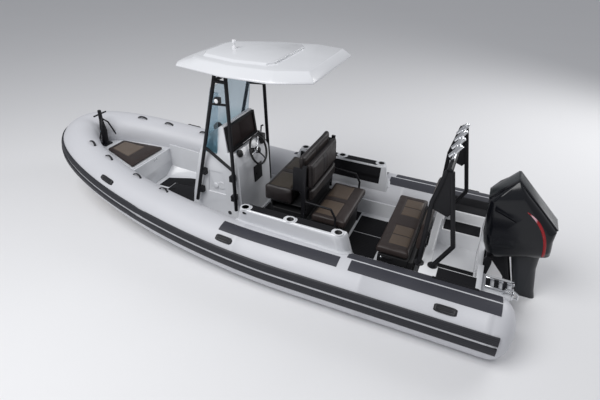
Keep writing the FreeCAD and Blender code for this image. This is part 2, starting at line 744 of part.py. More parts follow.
# roof: moulded panel, hollow underneath
def roof_wire(points, z):
    pts = [V(x, y, z) for x, y in points] + [V(x, -y, z) for x, y in points[::-1]]
    return polygon(pts)


roof_low = [(roof_aft_x, 575), (2310, 735), (2900, 690), (3590, 500), (3690, 330)]
roof_high = [(2010, 500), (2330, 610), (2880, 580), (3400, 430), (3480, 280)]
roof_step = [(2440, 380), (2500, 470), (2880, 470), (3330, 340), (3390, 220)]
roof = loft([roof_wire(roof_low, 0), roof_wire([(x, y) for x, y in roof_low], 18), roof_wire(roof_high, 100)], True)
roof_inner_low = [(1958, 545), (2318, 700), (2895, 655), (3560, 470), (3650, 310)]
roof_inner_high = [(2035, 475), (2340, 580), (2875, 550), (3370, 400), (3440, 260)]
roof_cavity = loft([roof_wire(roof_inner_low, -1), roof_wire(roof_inner_high, 76)], True)
roof_cap = loft([roof_wire(roof_step, 99), roof_wire([(x - 10, y - 25) for x, y in roof_step], 124)], True)
roof = roof.cut(roof_cavity).fuse(roof_cap)
for pad_x in (3010, 3130):
    roof = roof.fuse(both(box(pad_x - 60, pad_x + 60, leg_top_y - 45, leg_top_y + 45, 10, 90)))
roof.rotate(V(roof_aft_x, 0, 0), V(0, 1, 0), roof_slope)
roof.translate(V(0, 0, roof_z))
roof_panel = roof
roof_frame = roof_frame.cut(roof_panel)
roof_frame = clear_of(roof_frame, [console])
windshield = clear_of(windshield, [roof_frame, roof_panel])

# lights: all-round light on the roof and a lamp between the port legs
light_base_z = roof_z + 124 - (3140 - roof_aft_x) * math.sin(math.radians(roof_slope)) - 4
roof_light = Part.makeCylinder(26, 22, V(3140, 0, light_base_z), V(0, 0, 1))
roof_light = roof_light.fuse(Part.makeCylinder(13, 95, V(3140, 0, light_base_z), V(0, 0, 1)))
roof_light = roof_light.fuse(Part.makeCylinder(22, 36, V(3140, 0, light_base_z + 60), V(0, 0, 1)))
lamp_mid = leg_front_at(1750)
lamp = box(lamp_mid.x - 130, lamp_mid.x - 60, lamp_mid.y - 30, lamp_mid.y + 30, 1758, 1830)
lamp = lamp.makeFillet(10, lamp.Edges)
lights = roof_light.fuse(lamp)
lights = clear_of(lights, [roof_panel, roof_frame])

# double helm seat
seat_base = box(seat_aft_x + 90, seat_front_x - 70, -seat_base_half, seat_base_half, deck_z, 515)
seat_upper = box(2020, seat_front_x - 70, -seat_base_half, seat_base_half, 515, 660)
seat_base = seat_base.fuse(seat_upper).removeSplitter()
seat_base = seat_base.cut(box(2060, seat_front_x - 100, -seat_base_half - 1, seat_base_half + 1, 560, 640))
seat_base = seat_base.cut(box(seat_aft_x + 110, seat_front_x - 90, -seat_base_half + 20, seat_base_half - 20,
                              deck_z + 20, 495))
helm_cushion = box(2200, seat_front_x, -seat_half, seat_half, 660.3, 868)
helm_cushion = helm_cushion.makeFillet(28, helm_cushion.Edges)
aft_cushion = box(seat_aft_x, 1965, -seat_half, seat_half, 515.3, 622)
aft_seat_cushion = aft_cushion.makeFillet(26, aft_cushion.Edges)


def leaning_pad(x0, x1, z0, z1, half, lean, r):
    pad = box(0, x1 - x0, -half, half, 0, z1 - z0)
    pad = pad.makeFillet(r, pad.Edges)
    pad.rotate(V(0, 0, 0), V(0, 1, 0), lean)
    pad.translate(V(x0, 0, z0))
    return pad


board_low_z = 660.0
board_high_z = 1200.0
board_front_low = 2048.0
board_front_high = 2068.0
board_aft_low = 2008.0
board_aft_high = 2038.0
front_lean = (board_front_high - board_front_low) / (board_high_z - board_low_z)
aft_lean = (board_aft_high - board_aft_low) / (board_high_z - board_low_z)
soft_gap = 0.3


def front_face_x(z):
    return board_front_low + front_lean * (z - board_low_z)


def aft_face_x(z):
    return board_aft_low + aft_lean * (z - board_low_z)


helm_backrest = leaning_pad(front_face_x(930) + soft_gap, front_face_x(930) + soft_gap + 74, 930, 1325,
                            seat_half - 10, math.degrees(math.atan(front_lean)), 24)
aft_upper = leaning_pad(aft_face_x(925) - soft_gap - 68, aft_face_x(925) - soft_gap, 925, 1245, seat_half - 5,
                        math.degrees(math.atan(aft_lean)), 22)
aft_lower = leaning_pad(aft_face_x(760) - soft_gap - 64, aft_face_x(760) - soft_gap, 760, 910, seat_half - 30,
                        math.degrees(math.atan(aft_lean)), 18)
aft_backrest = aft_upper.fuse(aft_lower)
back_board = prism_y([(board_aft_low, board_low_z), (board_front_low, board_low_z),
                      (board_front_high, board_high_z), (board_aft_high, board_high_z)],
                     -seat_half - 4, seat_half + 4)
posts = []
for s in (-1, 1):
    y = s * (seat_half + 18)
    posts.append(box(2016, 2060, min(y - 14, y + 14), max(y - 14, y + 14), 520, 1240))
    posts.append(box(2016, 2170, min(y - 14, y + 14), max(y - 14, y + 14), 920, 1200))
    posts.append(bent_rod([V(2100, y, 930), V(2010, y, 786), V(1700, y, 772), V(1640, y, 668), V(1640, y, 540)], 13))
    inner = s * seat_base_half
    posts.append(box(2016, 2060, min(inner, y), max(inner, y), 600, 640))
    posts.append(box(1628, 1654, min(inner - s * 40, y), max(inner - s * 40, y), 478, 510))
    posts.append(box(1628, 1654, min(y - 13, y + 13), max(y - 13, y + 13), 478, 560))
seat_frame = back_board.fuse(posts)
seat_frame = clear_of(seat_frame, [seat_base, helm_cushion, aft_seat_cushion, helm_backrest, aft_backrest])

# aft bench with a lifting cushion
bench_base = box(bench_aft_x + 15, bench_front_x - 40, -bench_half, bench_half, deck_z, 470)
bench_well = box(bench_aft_x + 55, bench_front_x - 75, -bench_half + 40, bench_half - 40, deck_z + 30, 600)
bench_base = bench_base.cut(bench_well)
bench_cushion = box(bench_aft_x + 10, bench_front_x, -bench_half - 14, bench_half + 14, 470.3, 566)
bench_cushion = bench_cushion.makeFillet(24, bench_cushion.Edges)
bench_backrest = leaning_pad(648, 720, 605, 955, bench_half - 20, -5.0, 22)
bench_riser = box(700, bench_aft_x + 14, -bench_half, bench_half, deck_z, 463)
bench_base = bench_base.fuse(bench_riser).removeSplitter()

# arch: side frames with gusset plates and a top beam
def arch_side(y):
    front = bent_rod([V(640, y + 12, 500), V(640, y, 1250), V(565, y - 20, arch_top_z)], arch_radius)
    aft = bent_rod([V(500, y, 500), V(350, y, 800), V(520, y - 20, arch_top_z)], arch_radius)
    gusset = prism_y([(640, 1180), (640, 1300), (560, arch_top_z), (520, arch_top_z), (430, 1180), (470, 1120)],
                     y - 16, y - 4)
    foot_front = Part.makeCylinder(52, 12, V(640, y + 12, 500), V(0, 0, 1))
    foot_aft = Part.makeCylinder(52, 12, V(500, y, 500), V(0, 0, 1))
    side = front.fuse([aft, gusset, foot_front, foot_aft])
    return side


arch_port = arch_side(arch_half)
arch_beam = rod(V(543, -arch_half + 20, arch_top_z), V(543, arch_half - 20, arch_top_z), arch_radius + 6)
arch_frame = both(arch_port).fuse(arch_beam)
arch_below = box(-500, 1500, -1500, 1500, 0, 500)
arch_frame = arch_frame.cut(arch_below)
arch_frame = clear_of(arch_frame, tubes + [splashwell, bench_backrest])

# polished rack with rod holders on the arch
rack_parts = [rod(V(543, -430, arch_top_z + 60), V(543, 430, arch_top_z + 60), 17)]
for k in range(6):
    y = -390 + k * 156
    rack_parts.append(rod(V(543, y, arch_top_z + 10), V(543, y, arch_top_z + 62), 9))
for k in range(4):
    y = -300 + k * 200
    rack_parts.append(rod(V(585, y, arch_top_z + 20), V(500, y, arch_top_z + 150), 24))
arch_rack = rack_parts[0].fuse(rack_parts[1:])
for k in range(4):
    y = -300 + k * 200
    arch_rack = arch_rack.cut(rod(V(569, y, arch_top_z + 44), V(493, y, arch_top_z + 161), 20))
arch_rack = clear_of(arch_rack, [arch_frame])

# grab loops on the inner side of the arch legs
fittings = []
for s in (-1, 1):
    y = s * arch_half
    fittings.append(bent_rod([V(600, y - s * 30, 720), V(600, y - s * 75, 720), V(600, y - s * 75, 860),
                              V(600, y - s * 30, 860)], 9))
    fittings.append(box(600, 640, min(y - s * 40, y - s * 18), max(y - s * 40, y - s * 18), 700, 740))
    fittings.append(box(600, 640, min(y - s * 40, y - s * 18), max(y - s * 40, y - s * 18), 840, 880))
arch_hooks = fittings[0].fuse(fittings[1:])
arch_hooks = clear_of(arch_hooks, [bench_backrest])
arch_frame = arch_frame.fuse(arch_hooks)

# boarding ladder folded on the port step
ladder_hinge_x = -300.0
ladder_hinge_z = 452.0
ladder_parts = []
for y in (485.0, 625.0):
    ladder_parts.append(rod(V(ladder_hinge_x + 14, y, ladder_hinge_z), V(-40, y, ladder_hinge_z + 6), 11))
    ladder_parts.append(Part.makeCylinder(14, 24, V(ladder_hinge_x, y - 12, ladder_hinge_z), V(0, 1, 0)))
for x in (-60.0, -140.0, -220.0):
    ladder_parts.append(box(x - 22, x + 22, 485, 625, ladder_hinge_z - 4, ladder_hinge_z + 12))
ladder = ladder_parts[0].fuse(ladder_parts[1:])
ladder_pin_hole = Part.makeCylinder(7, 400, V(ladder_hinge_x, 400, ladder_hinge_z), V(0, 1, 0))
ladder = ladder.cut(ladder_pin_hole)
ladder_mount = Part.makeCylinder(6, 240, V(ladder_hinge_x, 435, ladder_hinge_z), V(0, 1, 0))
for y in (441.0, 555.0, 661.0):
    ladder_mount = ladder_mount.fuse(box(ladder_hinge_x - 9, ladder_hinge_x + 14, y - 6, y + 6, 396,
                                         ladder_hinge_z + 9))
ladder_hoop = bent_rod([V(-205, 652, 420), V(-205, 652, 470), V(-235, 652, 502), V(-290, 652, 506),
                        V(-345, 652, 470), V(-350, 652, 415), V(-300, 652, 415)], 9)
ladder_mount = clear_of(ladder_mount.fuse(ladder_hoop), [transom] + tubes)

# tube handles: strap loops on the inner side and grab patches outboard
handle_parts = []
for hx, hy, hz in ((5199, 472, 885), (4808, 626, 815), (4256, 763, 738), (3800, 815, 668)):
    y, z, r = tube_at(hx)
    t = tube_station_at(hx)
    tangent, outward, up = path_frame(t)
    c = path_point(t)
    rr = path_radius(c.x)
    a = math.radians(106)
    d = V(outward.x * math.cos(a), outward.y * math.cos(a), 0).add(V(up.x * math.sin(a), up.y * math.sin(a),
                                                                     up.z * math.sin(a)))
    top = c.add(V(d.x * (rr + 3), d.y * (rr + 3), d.z * (rr + 3)))
    peak = c.add(V(d.x * (rr + 32), d.y * (rr + 32), d.z * (rr + 32)))
    e = V(tangent.x * 70, tangent.y * 70, tangent.z * 70)
    h = V(tangent.x * 38, tangent.y * 38, tangent.z * 38)
    handle_parts.append(bent_rod([top.sub(e), peak.sub(h), peak.add(h), top.add(e)], 9))
for hx in (280.0, 2690.0, 4506.0):
    if hx <= curve_start_x:
        c = V(hx, tube_offset, tube_height)
        tangent = V(1, 0, 0)
        outward = V(0, 1, 0)
        up = V(0, 0, 1)
        rr = tube_radius
    else:
        t = tube_station_at(hx)
        tangent, outward, up = path_frame(t)
        c = path_point(t)
        rr = path_radius(c.x)
    a = math.radians(47)
    d = V(outward.x * math.cos(a), outward.y * math.cos(a), 0).add(V(up.x * math.sin(a), up.y * math.sin(a),
                                                                     up.z * math.sin(a)))
    p0 = c.add(V(d.x * (rr + 2), d.y * (rr + 2), d.z * (rr + 2)))
    e = V(tangent.x * 95, tangent.y * 95, tangent.z * 95)
    handle_parts.append(bent_rod([p0.sub(e), p0, p0.add(e)], 26))
    handle_parts.append(Part.makeSphere(26, p0.sub(e)))
    handle_parts.append(Part.makeSphere(26, p0.add(e)))
tube_handles = handle_parts[0].fuse(handle_parts[1:])
tube_handles = both(tube_handles)
tube_handles = clear_of(tube_handles, tubes + [tube_stripes])

# deck hatch in the fore deck
hatch_plan = [(3840.0, 190.0), (4360.0, 150.0), (4360.0, -150.0), (3840.0, -190.0)]
hole_plan = [(3840.0 + 20, 172.0), (4360.0 - 20, 132.0), (4360.0 - 20, -132.0), (3840.0 + 20, -172.0)]
deck_liner = deck_liner.cut(prism_z(hole_plan, deck_z - 40, deck_z + 5))
deck_hatch = prism_z(hatch_plan, deck_z + 0.5, deck_z + 16)
latch = box(4270, 4330, -24, 24, deck_z + 14, deck_z + 24)
hatch_barrel = Part.makeCylinder(hinge_radius, 240, V(3840, -120, deck_z + hinge_radius + 1), V(0, 1, 0))
deck_hatch = deck_hatch.fuse([latch.makeFillet(3, latch.Edges), hatch_barrel])

# grip pads on the floor, side steps and pods
pads = []
pads.append(box(1180, 1580, -560, 560, deck_z, deck_z + pad_thick))
for s in (-1, 1):
    y0 = s * (seat_base_half + 20)
    y1 = s * (wall_y(2000) - 20)
    pads.append(box(1600, 2780, min(y0, y1), max(y0, y1), deck_z, deck_z + pad_thick))
    y0 = s * 215.0
    pads.append(prism_z([(3760, y0), (3760, s * 480.0), (4250, s * 380.0), (4560, s * 250.0), (4560, s * 20.0),
                         (4385, s * 20.0), (4385, s * 170.0)], deck_z, deck_z + pad_thick))
    pads.append(box(transom_thick + 20, 505, min(s * 350, s * 570), max(s * 350, s * 570), 360, 360 + pad_thick))
    for i in range(2):
        x0 = cup_x0 + i * cup_step
        x1 = x0 + cup_step
        pad = prism_z([(x0 + 24, s * (pod_inner_y + 2)), (x1 - 24, s * (pod_inner_y + 2)),
                       (x1 - 62, s * (pod_outer_y - 38)), (x0 + 62, s * (pod_outer_y - 38))],
                      pod_top_z, pod_top_z + pad_thick)
        for x in (x0, x1):
            pad = pad.cut(Part.makeCylinder(cup_rim_radius + 20, 60, V(x, s * cup_y, pod_top_z - 20), V(0, 0, 1)))
        pads.append(pad)
    side_low = pod_inner_y - 45.0 * (pod_top_z - 545.0) / (pod_top_z - pod_seat_z)
    side_high = pod_inner_y - 45.0 * 28.0 / (pod_top_z - pod_seat_z)
    pads.append(prism_x([(s * (side_low - 4), 545.0), (s * (side_low + 2), 545.0), (s * (side_high + 2), 762.0),
                         (s * (side_high - 4), 762.0)], cup_x0 - 20, cup_x0 + 2 * cup_step + 40))
pads.append(box(2580, 2860, -300, 300, deck_z, deck_z + pad_thick))
grip_pads = pads[0]
for p in pads[1:]:
    grip_pads = grip_pads.fuse(p)
grip_pads = clear_of(grip_pads, [deck_liner, pod_port, pod_starboard, seat_base, console])

# outboard, drawn upright then trimmed out about the tilt pin
bracket_parts = []
for s in (-1, 1):
    y0 = s * 108.0
    y1 = s * 134.0
    plate = prism_y([(0, 0), (0, 420), (-18, 460), (-75, 460), (-85, 380), (-40, 0)], min(y0, y1), max(y0, y1))
    bracket_parts.append(plate)
    hook = prism_y([(-30, 362), (90, 362), (90, 250), (72, 250), (72, 380), (-30, 392)], min(y0, y1), max(y0, y1))
    bracket_parts.append(hook)
bracket_parts.append(Part.makeCylinder(tilt_pin_radius, 268, V(tilt_x, -134, tilt_z), V(0, 1, 0)))
bracket_parts.append(box(-20, 0, -134, 134, 20, 60))
stern_bracket = bracket_parts[0].fuse(bracket_parts[1:])
stern_bracket = clear_of(stern_bracket, [transom, splashwell])

swivel = Part.makeCylinder(44, 560, V(steer_x, 0, -130), V(0, 0, 1))
swivel = swivel.fuse(Part.makeCylinder(32, 196, V(tilt_x, -98, tilt_z), V(0, 1, 0)))
swivel = swivel.fuse(prism_y([(tilt_x, tilt_z - 26), (tilt_x, tilt_z + 22), (steer_x + 90, 424), (steer_x, 424),
                              (steer_x, 60), (steer_x + 60, 200)], -52, 52))
swivel = swivel.cut(Part.makeCylinder(tilt_pin_radius + running_clearance, 300, V(tilt_x, -150, tilt_z), V(0, 1, 0)))
swivel = swivel.cut(Part.makeCylinder(steer_shaft_radius + running_clearance, 700, V(steer_x, 0, -200), V(0, 0, 1)))

steer_shaft = Part.makeCylinder(steer_shaft_radius, 660, V(steer_x, 0, -180), V(0, 0, 1))
yoke_top = box(steer_x - 130, steer_x + 40, -70, 70, 436, 486)
yoke_low = box(steer_x - 130, steer_x + 30, -55, 55, -190, -138)


def leg_wire(x_front, x_back, half, z):
    mid = 0.5 * (x_front + x_back)
    hx = 0.5 * (x_front - x_back)
    return rounded_rect(mid, 0, hx, half, min(half, hx) * 0.75, z)


leg = loft([leg_wire(-262, -560, 95, 492), leg_wire(-258, -500, 82, 250), leg_wire(-256, -470, 62, -60),
            leg_wire(-250, -475, 42, -400)], True)
lower = loft([leg_wire(-215, -500, 40, -400), leg_wire(-205, -500, 30, -500), leg_wire(-200, -490, 40, prop_z + 30)],
             True)
av_plate = prism_z([(-215, 30), (-300, 92), (-560, 100), (-585, 60), (-585, -60), (-560, -100), (-300, -92),
                    (-215, -30)], plate_z - 6, plate_z + 6)
torpedo = Part.makeCylinder(52, 290, V(-490, 0, prop_z), V(1, 0, 0))
torpedo_nose = Part.makeCone(52, 8, 110, V(-200, 0, prop_z), V(1, 0, 0))
skeg = prism_y([(-250, prop_z - 30), (-470, prop_z - 30), (-520, -905), (-420, -905)], -7, 7)
prop_shaft = Part.makeCylinder(prop_shaft_radius, 150, V(-480, 0, prop_z), V(-1, 0, 0))
engine_leg = leg.fuse([lower, av_plate, torpedo, torpedo_nose, skeg, steer_shaft, yoke_top, yoke_low, prop_shaft])

def cowl_wire(x_front, x_back, half, corner, z):
    hx = 0.5 * (x_front - x_back)
    return rounded_rect(0.5 * (x_front + x_back), 0, hx, half, min(corner, 0.8 * hx, 0.6 * half), z)


cowl_levels = [(-70, -632, 160, 60, 492), (-18, -645, 196, 80, 560), (-4, -664, 212, 90, 680),
               (-12, -698, 214, 92, 788), (-58, -578, 207, 80, 1010), (-108, -482, 200, 60, 1180),
               (-186, -449, 192, 40, 1238), (-368, -392, 116, 8, 1346)]
cowl = loft([cowl_wire(*level) for level in cowl_levels], True)
shell_profile = [(-100, 1160), (-374, 1330), (-392, 1330), (-690, 780), (-712, 792), (-396, 1366), (-376, 1368),
                 (-92, 1186)]
top_shell = prism_y(shell_profile, -cowl_shell_half, cowl_shell_half)
groove = prism_y([(-150, 1097), (-150, 1085), (-338, 942), (-338, 954)], 190, 260)
cowl = cowl.cut([groove, mirror(groove)])
engine_cowl = cowl.fuse(top_shell).removeSplitter()
engine_leg = engine_leg.cut(engine_cowl)

prop_hub = Part.makeCone(50, 44, 120, V(prop_x + 64, 0, prop_z), V(-1, 0, 0))
blades = []
for k in range(prop_blades):
    root = polygon([V(-46, -5, 30), V(46, -5, 30), V(46, 5, 30), V(-46, 5, 30)])
    mid = polygon([V(-62, -4, 110), V(50, -4, 110), V(50, 4, 110), V(-62, 4, 110)])
    tip = polygon([V(-30, -2, prop_radius), V(22, -2, prop_radius), V(22, 2, prop_radius), V(-30, 2, prop_radius)])
    root.rotate(V(0, 0, 0), V(0, 0, 1), 58)
    mid.rotate(V(0, 0, 0), V(0, 0, 1), 42)
    tip.rotate(V(0, 0, 0), V(0, 0, 1), 30)
    blade = loft([root, mid, tip], True)
    blade.rotate(V(0, 0, 0), V(1, 0, 0), 360.0 * k / prop_blades + 20.0)
    blade.translate(V(prop_x, 0, prop_z))
    blades.append(blade)
propeller = prop_hub.fuse(blades)
propeller = propeller.cut(Part.makeCylinder(prop_shaft_radius + running_clearance, 300, V(-400, 0, prop_z), V(-1, 0, 0)))

tilt_pin = V(tilt_x, 0, tilt_z)
for shape in (swivel, engine_leg, engine_cowl, propeller):
    shape.rotate(tilt_pin, V(0, 1, 0), trim_deg)
swivel_bracket = swivel

pieces = {
    "hull_bottom": hull_bottom,
    "transom": transom,
    "splashwell": splashwell,
    "deck_liner": deck_liner,
    "tube_port": tube_port,
    "tube_starboard": tube_starboard,
    "tube_bow": tube_bow,
    "rub_strake": rub_strake,
    "tube_stripes": tube_stripes,
    "pod_port": pod_port,
    "pod_starboard": pod_starboard,
    "grip_pads": grip_pads,
    "console": console,
    "console_hatch": console_hatch,
    "instrument_panel": instrument_panel,
    "windshield": windshield,
    "helm_controls": helm_controls,
    "helm_wheel": helm_wheel,
    "roof_panel": roof_panel,
    "roof_frame": roof_frame,
    "lights": lights,
    "seat_base": seat_base,
    "seat_frame": seat_frame,
    "helm_cushion": helm_cushion,
    "helm_backrest": helm_backrest,
    "aft_seat_cushion": aft_seat_cushion,
    "aft_backrest": aft_backrest,
    "bench_base": bench_base,
    "bench_cushion": bench_cushion,
    "bench_backrest": bench_backrest,
    "arch_frame": arch_frame,
    "arch_rack": arch_rack,
    "bow_locker": bow_locker,
    "bow_lid": bow_lid,
    "bow_cushion": bow_cushion,
    "samson_post": samson_post,
    "deck_hatch": deck_hatch,
    "tube_handles": tube_handles,
    "ladder": ladder,
    "ladder_mount": ladder_mount,
    "stern_bracket": stern_bracket,
    "swivel_bracket": swivel_bracket,
    "engine_cowl": engine_cowl,
    "engine_leg": engine_leg,
    "propeller": propeller,
}

for name, shape in pieces.items():
    shape.exportStep("parts/" + name + ".step")
    print(name, len(shape.Solids), round(shape.Volume / 1e6, 2), shape.isValid())
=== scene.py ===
# %% [markdown]
# A rigid inflatable boat with a centre console, a moulded roof and an outboard motor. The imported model
# gives every rigid piece at its real place. This script adds the looks: fabric tubes, upholstery, trim and
# finishes.

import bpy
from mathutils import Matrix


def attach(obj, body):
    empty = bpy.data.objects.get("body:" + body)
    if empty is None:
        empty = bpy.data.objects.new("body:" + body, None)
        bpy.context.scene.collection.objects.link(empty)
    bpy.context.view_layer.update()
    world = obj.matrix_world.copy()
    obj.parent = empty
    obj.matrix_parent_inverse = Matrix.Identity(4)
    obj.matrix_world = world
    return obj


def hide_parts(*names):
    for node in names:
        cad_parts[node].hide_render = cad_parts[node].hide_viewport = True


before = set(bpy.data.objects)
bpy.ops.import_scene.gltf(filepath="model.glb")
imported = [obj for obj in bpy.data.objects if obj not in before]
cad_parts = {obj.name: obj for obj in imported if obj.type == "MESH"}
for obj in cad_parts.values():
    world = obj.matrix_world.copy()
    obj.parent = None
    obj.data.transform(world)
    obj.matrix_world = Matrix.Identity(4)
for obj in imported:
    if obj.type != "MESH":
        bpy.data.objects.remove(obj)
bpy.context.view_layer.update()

# %% [markdown]
# Blender's own modules are enough for the rest. The ray tree is used once, to lay the motor's stripe.

# %% Modules
import math

import bmesh
import bpy
from mathutils import Matrix, Vector
from mathutils.bvhtree import BVHTree

print("Blender", bpy.app.version_string)

# %% [markdown]
# New pieces are built from loops of points that bmesh joins into skins. Each piece is then smoothed, given
# its finish and set to ride on the body that carries it.

# %% Building helpers
def new_piece(name, mesh, material, body="boat"):
    bmesh.ops.recalc_face_normals(mesh, faces=mesh.faces[:])
    data = bpy.data.meshes.new(name)
    mesh.to_mesh(data)
    mesh.free()
    for polygon in data.polygons:
        polygon.use_smooth = True
    data.materials.append(material)
    piece = bpy.data.objects.new(name, data)
    bpy.context.scene.collection.objects.link(piece)
    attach(piece, body)
    return piece


def add_loop(mesh, points):
    verts = [mesh.verts.new(point) for point in points]
    count = len(verts)
    return [mesh.edges.new((verts[i], verts[(i + 1) % count])) for i in range(count)]


def skin(mesh, loops):
    rings = [add_loop(mesh, points) for points in loops]
    for first, second in zip(rings, rings[1:]):
        bmesh.ops.bridge_loops(mesh, edges=first + second)
    bmesh.ops.edgeloop_fill(mesh, edges=rings[0])
    bmesh.ops.edgeloop_fill(mesh, edges=rings[-1])
    return rings


def oval_points(centre, first, second, count):
    angles = [2 * math.pi * i / count for i in range(count)]
    return [centre + first * math.cos(angle) + second * math.sin(angle) for angle in angles]


def circle_points(centre, side, up, radius, count):
    return oval_points(centre, side * radius, up * radius, count)


def side_frame(direction):
    across = direction.cross(Vector((0, 0, 1)))
    if across.length < 0.01:
        across = direction.cross(Vector((0, 1, 0)))
    across.normalize()
    return across, across.cross(direction).normalized()


def turned(mesh, profile, base, axis, steps):
    axis = Vector(axis).normalized()
    side, up = side_frame(axis)
    loops = []
    for along, radius in profile:
        loops.append(circle_points(Vector(base) + axis * along, side, up, radius, steps))
    skin(mesh, loops)


def rounded_block(name, size, edge, place, material):
    mesh = bmesh.new()
    bmesh.ops.create_cube(mesh, size=1.0, matrix=Matrix.Diagonal((*size, 1)))
    bmesh.ops.bevel(mesh, geom=mesh.edges[:], offset=edge, segments=2, profile=0.5,
                    affect="EDGES", material=-1)
    bmesh.ops.transform(mesh, matrix=place, verts=mesh.verts)
    return new_piece(name, mesh, material)


print("building helpers ready")

# %% [markdown]
# The camera stands on the port side, above the rail, and looks down over the helm towards the motor. Its
# place was worked out from straight and mirrored features of the boat. The lens is a moderate wide angle.

# %% Camera
CAMERA_AT = Vector((0.40, 4.50, 3.559))
YAW = math.radians(-67.4)
PITCH = math.radians(32.3)
ROLL = math.radians(1.9)
LENS_MM = 27.0
SENSOR_MM = 36.0
FARTHEST = 200.0


def make_camera():
    ahead = Vector((math.cos(YAW) * math.cos(PITCH), math.sin(YAW) * math.cos(PITCH), -math.sin(PITCH)))
    level_right = ahead.cross(Vector((0, 0, 1))).normalized()
    level_up = level_right.cross(ahead)
    right = math.cos(ROLL) * level_right + math.sin(ROLL) * level_up
    up = -math.sin(ROLL) * level_right + math.cos(ROLL) * level_up
    data = bpy.data.cameras.new("camera")
    data.lens = LENS_MM
    data.sensor_width = SENSOR_MM
    data.clip_end = FARTHEST
    camera = bpy.data.objects.new("camera", data)
    bpy.context.scene.collection.objects.link(camera)
    facing = Matrix((right, up, -ahead)).transposed().to_4x4()
    camera.matrix_world = Matrix.Translation(CAMERA_AT) @ facing
    bpy.context.scene.camera = camera
    return camera


camera = make_camera()
bpy.context.scene.view_settings.view_transform = "Standard"
print("camera at", tuple(round(v, 2) for v in camera.location))

# %% [markdown]
# Soft studio light comes from one large lamp overhead on the camera's side, a weaker one behind the boat
# and an even pale surround. The levels add up so that a colour shows about as bright as it is written.

# %% Lights and surround
SURROUND = 0.40
SURROUND_TINT = (0.93, 0.95, 1.0, 1)


def area_lamp(name, place, aim, size, watts):
    data = bpy.data.lights.new(name, "AREA")
    data.shape = "DISK"
    data.size = size
    data.energy = watts
    lamp = bpy.data.objects.new(name, data)
    bpy.context.scene.collection.objects.link(lamp)
    lamp.location = place
    lamp.rotation_mode = "QUATERNION"
    lamp.rotation_quaternion = (Vector(aim) - Vector(place)).to_track_quat("-Z", "Y")
    return lamp


key_lamp = area_lamp("key_lamp", place=(4.5, 5.0, 8.0), aim=(2.8, 0, 0.6), size=6.0, watts=560)
rim_lamp = area_lamp("rim_lamp", place=(-3.5, -6.0, 5.0), aim=(2.0, 0, 0.6), size=5.0, watts=260)
world = bpy.data.worlds.new("surround")
bpy.context.scene.world = world
world.use_nodes = True
background = world.node_tree.nodes["Background"]
background.inputs["Color"].default_value = SURROUND_TINT
background.inputs["Strength"].default_value = SURROUND
print("lamps", key_lamp.name, rim_lamp.name)

# %% [markdown]
# Every finish is a small node tree. Helpers keep the trees short: one adds a node, one starts a material
# with its Principled shader, and shared effects are node groups with named inputs and outputs.

# %% Node helpers
def add_node(tree, kind, **values):
    node = tree.nodes.new(kind)
    for key, value in values.items():
        if hasattr(node, key):
            setattr(node, key, value)
        else:
            node.inputs[key.replace("_", " ")].default_value = value
    return node


def start_group(name, inputs, outputs):
    tree = bpy.data.node_groups.new(name, "ShaderNodeTree")
    for label, kind, value in inputs:
        socket = tree.interface.new_socket(label, in_out="INPUT", socket_type=kind)
        socket.default_value = value
    for label, kind in outputs:
        tree.interface.new_socket(label, in_out="OUTPUT", socket_type=kind)
    return tree, tree.nodes.new("NodeGroupInput"), tree.nodes.new("NodeGroupOutput")


def start_material(name, roughness=0.5, metallic=0.0, coat=0.0):
    material = bpy.data.materials.new(name)
    material.use_nodes = True
    tree = material.node_tree
    shader = tree.nodes["Principled BSDF"]
    shader.inputs["Roughness"].default_value = roughness
    shader.inputs["Metallic"].default_value = metallic
    shader.inputs["Coat Weight"].default_value = coat
    return material, tree, shader


# %% [markdown]
# Mottle is the uneven tone of any real surface: two sizes of noise lighten and darken a colour a little and
# give a height for fine bump. It reads Object coordinates, so it stays fixed to each piece.

# %% Shared effect: mottle
def build_mottle():
    inputs = [("Color", "NodeSocketColor", (0.5, 0.5, 0.5, 1)), ("Spread", "NodeSocketFloat", 0.1),
              ("Coarse", "NodeSocketFloat", 6.0), ("Fine", "NodeSocketFloat", 220.0)]
    outputs = [("Color", "NodeSocketColor"), ("Height", "NodeSocketFloat"), ("Mask", "NodeSocketFloat")]
    tree, given, result = start_group("mottle", inputs, outputs)
    place = tree.nodes.new("ShaderNodeTexCoord")
    coarse = add_node(tree, "ShaderNodeTexNoise", Detail=3.0)
    fine = add_node(tree, "ShaderNodeTexNoise", Detail=2.0)
    for texture, label in ((coarse, "Coarse"), (fine, "Fine")):
        tree.links.new(place.outputs["Object"], texture.inputs["Vector"])
        tree.links.new(given.outputs[label], texture.inputs["Scale"])
    centred = add_node(tree, "ShaderNodeMath", operation="SUBTRACT")
    centred.inputs[1].default_value = 0.5
    tree.links.new(coarse.outputs["Fac"], centred.inputs[0])
    scaled = add_node(tree, "ShaderNodeMath", operation="MULTIPLY_ADD")
    tree.links.new(centred.outputs[0], scaled.inputs[0])
    tree.links.new(given.outputs["Spread"], scaled.inputs[1])
    scaled.inputs[2].default_value = 1.0
    tint = add_node(tree, "ShaderNodeVectorMath", operation="SCALE")
    tree.links.new(given.outputs["Color"], tint.inputs[0])
    tree.links.new(scaled.outputs[0], tint.inputs["Scale"])
    tree.links.new(tint.outputs[0], result.inputs["Color"])
    tree.links.new(fine.outputs["Fac"], result.inputs["Height"])
    tree.links.new(coarse.outputs["Fac"], result.inputs["Mask"])
    return tree


mottle = build_mottle()
print("shared effect", mottle.name)

# %% [markdown]
# A plain moulded or painted finish is one colour through the mottle, a fine bump and a roughness that
# varies a little. Gelcoat, powder coat, moulded plastic, foam and metal differ only in these numbers.

# %% Plain finishes
MASK_LOW = 0.3
MASK_HIGH = 0.7


def group_node(tree, group, **values):
    node = tree.nodes.new("ShaderNodeGroup")
    node.node_tree = group
    for key, value in values.items():
        node.inputs[key].default_value = value
    return node


